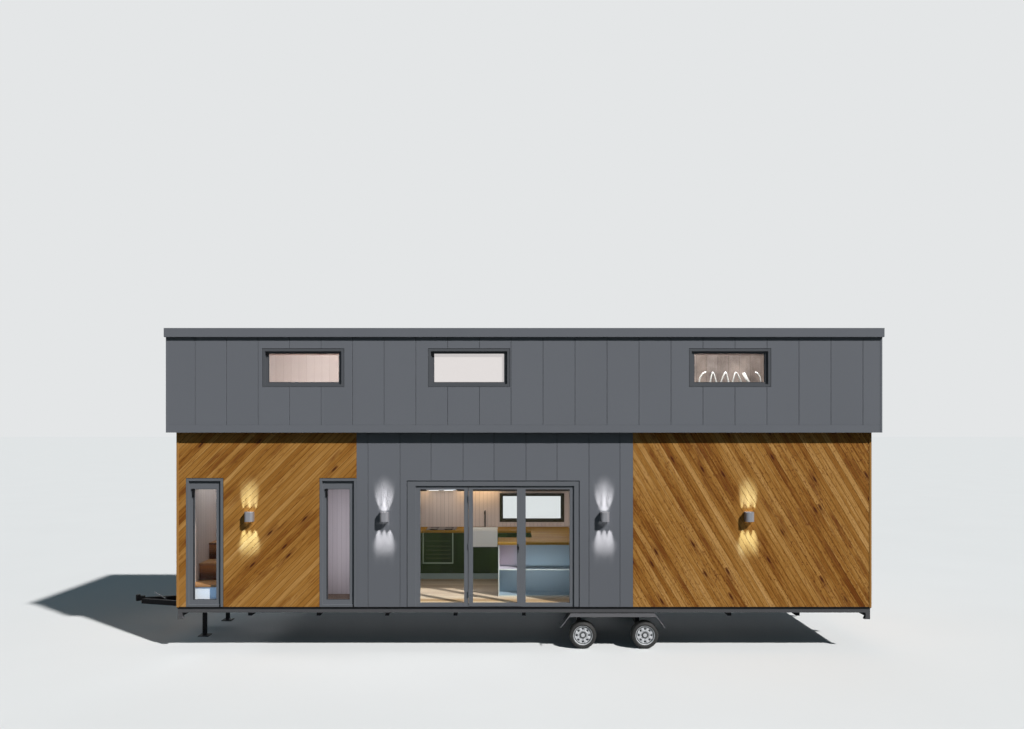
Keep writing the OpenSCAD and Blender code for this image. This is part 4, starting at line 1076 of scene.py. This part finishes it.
# A strip of pale edging on the shelves and the bar's left panel
BAR_Y = box("bar_shelves")[0][1]
BAR_TOP = box("bar_shelves")[1][2]
edging = [((at(-0.421), BAR_Y - 0.006, FLOOR_TOP), (at(-0.403), BAR_Y + 0.001, BAR_TOP))]
for z in (FLOOR_TOP, 1.157):
    edging.append(((at(-0.403), BAR_Y - 0.006, z), (at(0.90), BAR_Y + 0.001, z + 0.02)))
blocks("shelf_edging", "edge_paint", "shelf", edging, 0.002, 1)

# Stair

STEPS = 5
STEP_DEPTH = 0.43
UPPER_DEPTH = 0.25
UPPER_NEAR = STAIR_FAR - 0.65
LANDING = FLOOR_TOP + STEPS * STAIR_RISE
UPPER_RISE = (LOFT_TOP - LANDING) / 6
TREAD = 0.035
LOWER_RIGHT = STAIR_LEFT + 0.9
UPPER_RIGHT = LOWER_RIGHT + STEPS * UPPER_DEPTH
carcass = []
risers = []
treads = []
for step in range(STEPS):
    near = STAIR_NEAR + step * STEP_DEPTH
    base = FLOOR_TOP + step * STAIR_RISE
    top = base + STAIR_RISE
    riser = ((STAIR_LEFT, near, base), (LOWER_RIGHT, STAIR_FAR, top - TREAD))
    (risers if step else carcass).append(riser)
    treads.append(((STAIR_LEFT, near - 0.02, top - TREAD), (LOWER_RIGHT + 0.012, STAIR_FAR, top)))
for step in range(STEPS):
    left = LOWER_RIGHT + step * UPPER_DEPTH
    base = LANDING + step * UPPER_RISE
    top = base + UPPER_RISE
    foot = base if step else FLOOR_TOP
    carcass.append(((left + 0.001, UPPER_NEAR, foot), (UPPER_RIGHT, STAIR_FAR, top - TREAD)))
    treads.append(((left - 0.012, UPPER_NEAR - 0.012, top - TREAD), (UPPER_RIGHT, STAIR_FAR, top)))
blocks("stair_carcass", "white_paint", "stair_wood", carcass, stands_for=["stair"])
blocks("stair_blocks", "stair_wood", "stair_wood", risers, stands_for=["stair"])
blocks("stair_treads", "tread_wood", "stair_wood", treads, 0.006, stands_for=["stair"])

# Loft rooms

LOFT_BACK = box("loft_wall_back")[0][1]
boarding = ((at(1.9), LOFT_BACK - 0.017, LOFT_TOP), (at(5.5), LOFT_BACK - 0.0002, ROOF_BOTTOM))
blocks("loft_board_wall", "loft_wood", "lining", [boarding], 0.002)

# The blind hangs inside the middle loft window's sash, close behind its glass
low, high = glass_edges(LOFT_WINDOWS[1], *LOFT_SASH)
BLIND_GAP = 0.004
BLIND_Y = -LOFT_W + GLASS_SET + 0.013
HEADRAIL = 0.016
BLIND_W = high[0] - low[0] - 2 * BLIND_GAP
BLIND_DROP = high[1] - low[1] - HEADRAIL / 2
headrail = (
    (low[0] + 0.001, BLIND_Y - 0.004, high[1] - HEADRAIL),
    (high[0] - 0.001, BLIND_Y + 0.012, high[1] - 0.0005),
)
# The headrail takes the blind's painted glow, which lightens the shade on it
blocks("blind_headrail", "blind", "lining", [headrail], 0.002)
cloth = bmesh.new()
bmesh.ops.create_grid(cloth, x_segments=48, y_segments=24, size=0.5)
bmesh.ops.scale(cloth, vec=(BLIND_W, BLIND_DROP, 1.0), verts=cloth.verts)
bmesh.ops.rotate(cloth, verts=cloth.verts, cent=(0, 0, 0), matrix=Matrix.Rotation(math.radians(90), 3, "X"))
cloth_middle = ((low[0] + high[0]) / 2, BLIND_Y, high[1] - HEADRAIL / 2 - BLIND_DROP / 2)
bmesh.ops.translate(cloth, vec=cloth_middle, verts=cloth.verts)
for vert in cloth.verts:
    vert.co.y += 0.002 * math.sin(vert.co.x * 9.0) * (high[1] - vert.co.z)
blind = finished("window_blind", cloth, "blind", "lining", smooth=True)


def bent_tube(mesh, points, radius, sides=10):
    """A round tube bent through points."""
    points = [Vector(point) for point in points]
    rings = []
    for number, point in enumerate(points):
        before = points[max(number - 1, 0)]
        after = points[min(number + 1, len(points) - 1)]
        at_end = number in (0, len(points) - 1)
        loop = bmesh.ops.create_circle(mesh, cap_ends=at_end, segments=sides, radius=radius)["verts"]
        turn = (after - before).to_track_quat("Z", "Y").to_matrix()
        bmesh.ops.rotate(mesh, verts=loop, cent=(0, 0, 0), matrix=turn)
        bmesh.ops.translate(mesh, vec=point, verts=loop)
        rings.append([edge for edge in {e for v in loop for e in v.link_edges}])
    for first, second in zip(rings, rings[1:]):
        bmesh.ops.bridge_loops(mesh, edges=first + second)


# White bent tubes stand in a row behind the right loft window: an arc at each end, peaks between them
TUBE_Y = -0.55
TUBE_LOW = 4.28
TUBE_RISE = 0.19
TUBE_R = 0.0125


def on_bend(foot, peak, share, height):
    """A point of a tube, by its share of the way over and of the bend's height."""
    return (at(foot + (peak - foot) * share), TUBE_Y, TUBE_LOW + TUBE_RISE * height)


tubes = bmesh.new()
for foot, end in ((2.993, 3.106), (4.041, 3.943)):
    arc = [(at(foot), TUBE_Y, LOFT_TOP)]
    for step in range(9):
        turn = math.radians(step * 11.25)
        arc.append(on_bend(foot, end, 1 - math.cos(turn), math.sin(turn)))
    bent_tube(tubes, arc, TUBE_R)
for left, peak, right in ((3.177, 3.22, 3.291), (3.356, 3.441, 3.495), (3.56, 3.611, 3.717)):
    up, down = (
        [on_bend(foot, peak, share, 1 - (1 - share) ** 1.5) for share in (0.0, 0.25, 0.5, 0.75, 0.9, 1.0)]
        for foot in (left, right)
    )
    # The two halves share their peak
    bend = [(at(left), TUBE_Y, LOFT_TOP), *up, *down[-2::-1], (at(right), TUBE_Y, LOFT_TOP)]
    bent_tube(tubes, bend, TUBE_R)
thick = [(at(3.829), TUBE_Y, LOFT_TOP), (at(3.829), TUBE_Y, 4.31), (at(3.744), TUBE_Y, 4.46)]
bent_tube(tubes, thick, TUBE_R * 2)
bmesh.ops.recalc_face_normals(tubes, faces=tubes.faces)
finished("loft_rail", tubes, "tube_paint", "lining", smooth=True)

# Wheels, drawn with their axis along Z and the tyre's outer face at height 0

TYRE_PROFILE = [
    (0.1535, -0.010), (0.158, -0.001), (0.166, 0.0035), (0.180, 0.004), (0.186, 0.0005), (0.195, -0.001),
    (0.204, -0.007), (0.2105, -0.016), (0.2145, -0.026), (0.215, -0.036), (0.215, -0.050), (0.207, -0.0505),
    (0.207, -0.0575), (0.215, -0.058), (0.215, -0.086), (0.207, -0.0865), (0.207, -0.0985), (0.215, -0.099),
    (0.215, -0.127), (0.207, -0.1275), (0.207, -0.1345), (0.215, -0.135), (0.215, -0.149), (0.2145, -0.159),
    (0.2105, -0.169), (0.204, -0.178), (0.195, -0.184), (0.180, -0.189), (0.166, -0.1885), (0.158, -0.184),
    (0.1535, -0.175),
]
RIM_LIP = [
    (0.144, -0.030), (0.144, -0.010), (0.1475, -0.006), (0.153, -0.006), (0.156, -0.012), (0.156, -0.030),
]
PRESSED_RING = [(0.060, -0.030), (0.066, -0.020), (0.078, -0.018), (0.086, -0.026), (0.0865, -0.030)]
HUB_CAP = [(0.0, -0.016), (0.020, -0.014), (0.030, -0.016), (0.034, -0.020), (0.034, -0.030), (0.0, -0.030)]
SPOKES = 8
SPOKE_SIZE = (0.056, 0.030, 0.012)
SPOKE_MIDDLE = (0.104, 0, -0.024)
NUTS = 5
NUT_CIRCLE = 0.047
NUT_R = 0.0085
NUT_H = 0.014


def wheel_piece(name, mesh, finish, slot, stand, body, stands_for=()):
    """Stands the drawn mesh up at its wheel's place."""
    bmesh.ops.recalc_face_normals(mesh, faces=mesh.faces)
    bmesh.ops.transform(mesh, matrix=stand, verts=mesh.verts)
    finished(name, mesh, finish, slot, body, stands_for)


for side, end in (("front", -1), ("back", 1)):
    for row, hub_x in HUB_X.items():
        wheel = f"{side}_{row}"
        turn = Matrix.Rotation(math.radians(-90 * end), 4, "X")
        stand = Matrix.Translation((hub_x, end * TYRE_OUTER, HUB_Z)) @ turn
        tyre = bmesh.new()
        turned(tyre, TYRE_PROFILE, 80)
        wheel_piece(
            f"tyre_tread_{wheel}", tyre, f"tyre_{row}", "tyre", stand, f"wheel_{wheel}", [f"tyre_{wheel}"],
        )
        dress = bmesh.new()
        turned(dress, RIM_LIP, 72)
        turned(dress, PRESSED_RING, 72)
        turned(dress, HUB_CAP, 36, closed=False)
        for number in range(SPOKES):
            angle = 2 * math.pi * (number + 0.5) / SPOKES
            spoke = bmesh.ops.create_cube(dress, size=1.0)["verts"]
            bmesh.ops.scale(dress, vec=SPOKE_SIZE, verts=spoke)
            bmesh.ops.translate(dress, vec=SPOKE_MIDDLE, verts=spoke)
            bmesh.ops.rotate(dress, verts=spoke, cent=(0, 0, 0), matrix=Matrix.Rotation(angle, 3, "Z"))
        for number in range(NUTS):
            angle = 2 * math.pi * number / NUTS
            nut = bmesh.ops.create_cone(
                dress, cap_ends=True, segments=6, radius1=NUT_R, radius2=NUT_R, depth=NUT_H,
            )["verts"]
            place = (NUT_CIRCLE * math.cos(angle), NUT_CIRCLE * math.sin(angle), -0.016)
            bmesh.ops.translate(dress, vec=place, verts=nut)
        bmesh.ops.remove_doubles(dress, verts=dress.verts, dist=1e-5)
        wheel_piece(f"rim_dress_{wheel}", dress, f"rim_{row}", "rim", stand, f"wheel_{wheel}")

# Roof

SEAM_PITCH = 0.5
SEAM_HALF = 0.012
SEAM_REACH = 1.40
SEAM_H = 0.018
seams = [at(-5.25) + number * SEAM_PITCH for number in range(22)]
blocks(
    "roof_seams", "cap_paint", "grey_panel",
    [
        ((x - SEAM_HALF, -SEAM_REACH, ROOF_TOP - 0.001), (x + SEAM_HALF, SEAM_REACH, ROOF_TOP + SEAM_H))
        for x in seams
    ],
    0.004,
)

# Room lights


def aim(holder, place, towards):
    """Puts a light at its place and turns its beam."""
    holder.location = place
    holder.rotation_mode = "QUATERNION"
    holder.rotation_quaternion = Vector(towards).to_track_quat("-Z", "Y")


def panel_light(name, place, towards, size, power, colour, spread=180.0):
    light = bpy.data.lights.new(name, "AREA")
    light.shape = "RECTANGLE"
    light.size, light.size_y = size
    light.energy = power
    light.color = colour
    light.spread = math.radians(spread)
    holder = placed(name, light)
    aim(holder, place, towards)
    holder.visible_camera = False


panel_light("kitchen_light", (at(-0.5), 0.3, 3.3), (0, 0.45, -1), (2.6, 0.9), 13.0, (1.0, 0.96, 0.92))
panel_light("door_light", (at(-0.5), -1.15, 2.5), (0, 1, -0.1), (2.6, 0.3), 12.0, (0.88, 0.94, 1.0))
panel_light("strip_glow_left", (at(-1.87), 1.12, 2.32), (0, 0.6, -1), (0.13, 0.12), 0.4, (1.0, 0.70, 0.36))
panel_light("strip_glow_right", (at(-0.84), 1.15, 2.32), (0, 0.6, -1), (0.8, 0.12), 1.7, (1.0, 0.70, 0.36))
panel_light("hood_glow", (at(-1.52), 0.95, 2.34), (0, 0.3, -1), (0.4, 0.1), 0.9, (1.0, 0.95, 0.88))
panel_light("shelf_light", (at(0.25), -1.22, 1.17), (0, 1, 0), (1.1, 0.06), 1.35, (0.88, 0.95, 1.0), 120.0)
panel_light("living_light", (at(3.2), 0.1, 3.3), (0, 0, -1), (3.0, 1.4), 30.0, (1.0, 0.95, 0.9))
panel_light("stair_light", (at(-4.9), -0.5, 3.3), (0, 0.3, -1), (0.7, 0.7), 15.3, (0.82, 0.92, 1.0))
panel_light("stair_foot_light", (at(-4.9), -1.385, 0.86), (0, 1, 0), (0.7, 0.25), 0.26, (0.26, 0.54, 1.0))
panel_light("hall_light", (at(-3.0), -1.26, 1.72), (-0.1, 1, 0), (0.5, 1.7), 4.2, (0.97, 0.97, 1.0))
panel_light("loft_light_left", (at(-3.5), -0.6, 4.85), (0, 1, -0.25), (1.8, 0.5), 60.0, (1.0, 0.95, 0.94))
panel_light("loft_light_right", (at(3.3), -0.6, 4.85), (0, 1, -0.25), (2.0, 0.5), 56.0, (0.96, 0.98, 1.0))

# Camera, floor and light

camera_data = bpy.data.cameras.new("camera")
camera_data.sensor_width = 36.0
camera_data.lens = 28.125
camera_data.shift_y = 0.064
camera = placed("camera", camera_data)
camera.location = (0.405, -14.15, 3.49)
camera.rotation_euler = (math.radians(90), 0, 0)
bpy.context.scene.camera = camera
bpy.context.scene.view_settings.view_transform = "Standard"

ground = bmesh.new()
bmesh.ops.create_grid(ground, x_segments=1, y_segments=1, size=400.0)
floor_shape = bpy.data.meshes.new("studio_floor")
ground.to_mesh(floor_shape)
ground.free()
studio_floor = placed("studio_floor", floor_shape)
# The floor shows pale to the camera and in glass and metal, and throws little light up at the house
pale = Finish("studio_floor")
cloud = pale.noise(pale.x * 0.4, pale.y * 0.4, detail=3.0)
shown = pale.shade(paint(214, 216, 218), 0.97 + cloud * 0.04)
pale.cover(pale.mix(pale.seen(), paint(72, 76, 74), shown), 0.9, gloss=0.0)
floor_shape.materials.append(FINISHES["studio_floor"])

world = bpy.data.worlds.new("studio")
bpy.context.scene.world = world
sky = Nodes(world, "ShaderNodeOutputWorld")
soft = sky.node("ShaderNodeBackground", {"Color": (0.60, 0.86, 1.0, 1.0), "Strength": 0.14})
white = sky.node("ShaderNodeBackground", {"Color": paint(228, 230, 231), "Strength": 1.0})
sky.close(sky.node("ShaderNodeMixShader", {0: sky.seen(), 1: soft, 2: white}))

key = bpy.data.lights.new("key_light", "SUN")
key.energy = 4.85
key.color = (1.0, 0.98, 0.95)
key.angle = math.radians(2.0)
aim(placed("key_light", key), (0, 0, 0), (-1.19, 1.0, -1.42))
# Two weak panels keep the back and the left end from going black
panel_light("back_fill", (at(0.0), 8.5, 3.2), (0, -1, 0), (12.0, 2.5), 120.0, (0.97, 0.98, 1.0), 60.0)
panel_light("left_fill", (at(-13.0), 1.0, 4.0), (1, -0.05, 0), (3.0, 2.0), 110.0, (0.97, 0.98, 1.0), 60.0)

# Finishes of the frame's own nodes

NODE_FINISH = {
    "black_steel": ["main_beams", "crossmembers", "drawbar", "coupling_head", "nose_legs", "axles"],
    "rail_paint": ["side_rails", "end_rails", "corner_brackets"],
    "guard_paint": ["mudguards"],
    "band_paint": ["loft_floor"],
    "cap_paint": ["roof_cap"],
    "frame_paint": ["door_frame", "sidelights", "door_leaf", "hinge_pins"],
    "window_paint": ["window_frames"],
    "glass": ["window_glass", "door_glass"],
    "black_handle": ["door_handle", "tap"],
    "lever_steel": ["brake_lever"],
    "lining_long": ["front_wall_left", "front_wall_over_door", "front_wall_right", "back_wall"],
    "hall_boards": ["partition"],
    "lining_end": ["end_walls"],
    "loft_lining_long": ["loft_wall_front", "loft_wall_back"],
    "loft_lining_end": ["loft_walls_end"],
    "ceiling": ["roof_deck"],
    "oak_floor": ["floor_deck"],
    "dark_green": ["kitchen_units"],
    "shelf_shade": ["over_shelf"],
    "shelf_paint": ["bar_shelves"],
    "worktop_wood": ["worktop"],
    "glaze": ["sink"],
    "steel": ["range_hood"],
    "rim_fore": ["rim_front_fore", "rim_back_fore"],
    "rim_aft": ["rim_front_aft", "rim_back_aft"],
}
for finish, nodes in NODE_FINISH.items():
    for node in nodes:
        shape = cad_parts[node].data
        shape.materials.clear()
        shape.materials.append(FINISHES[finish])
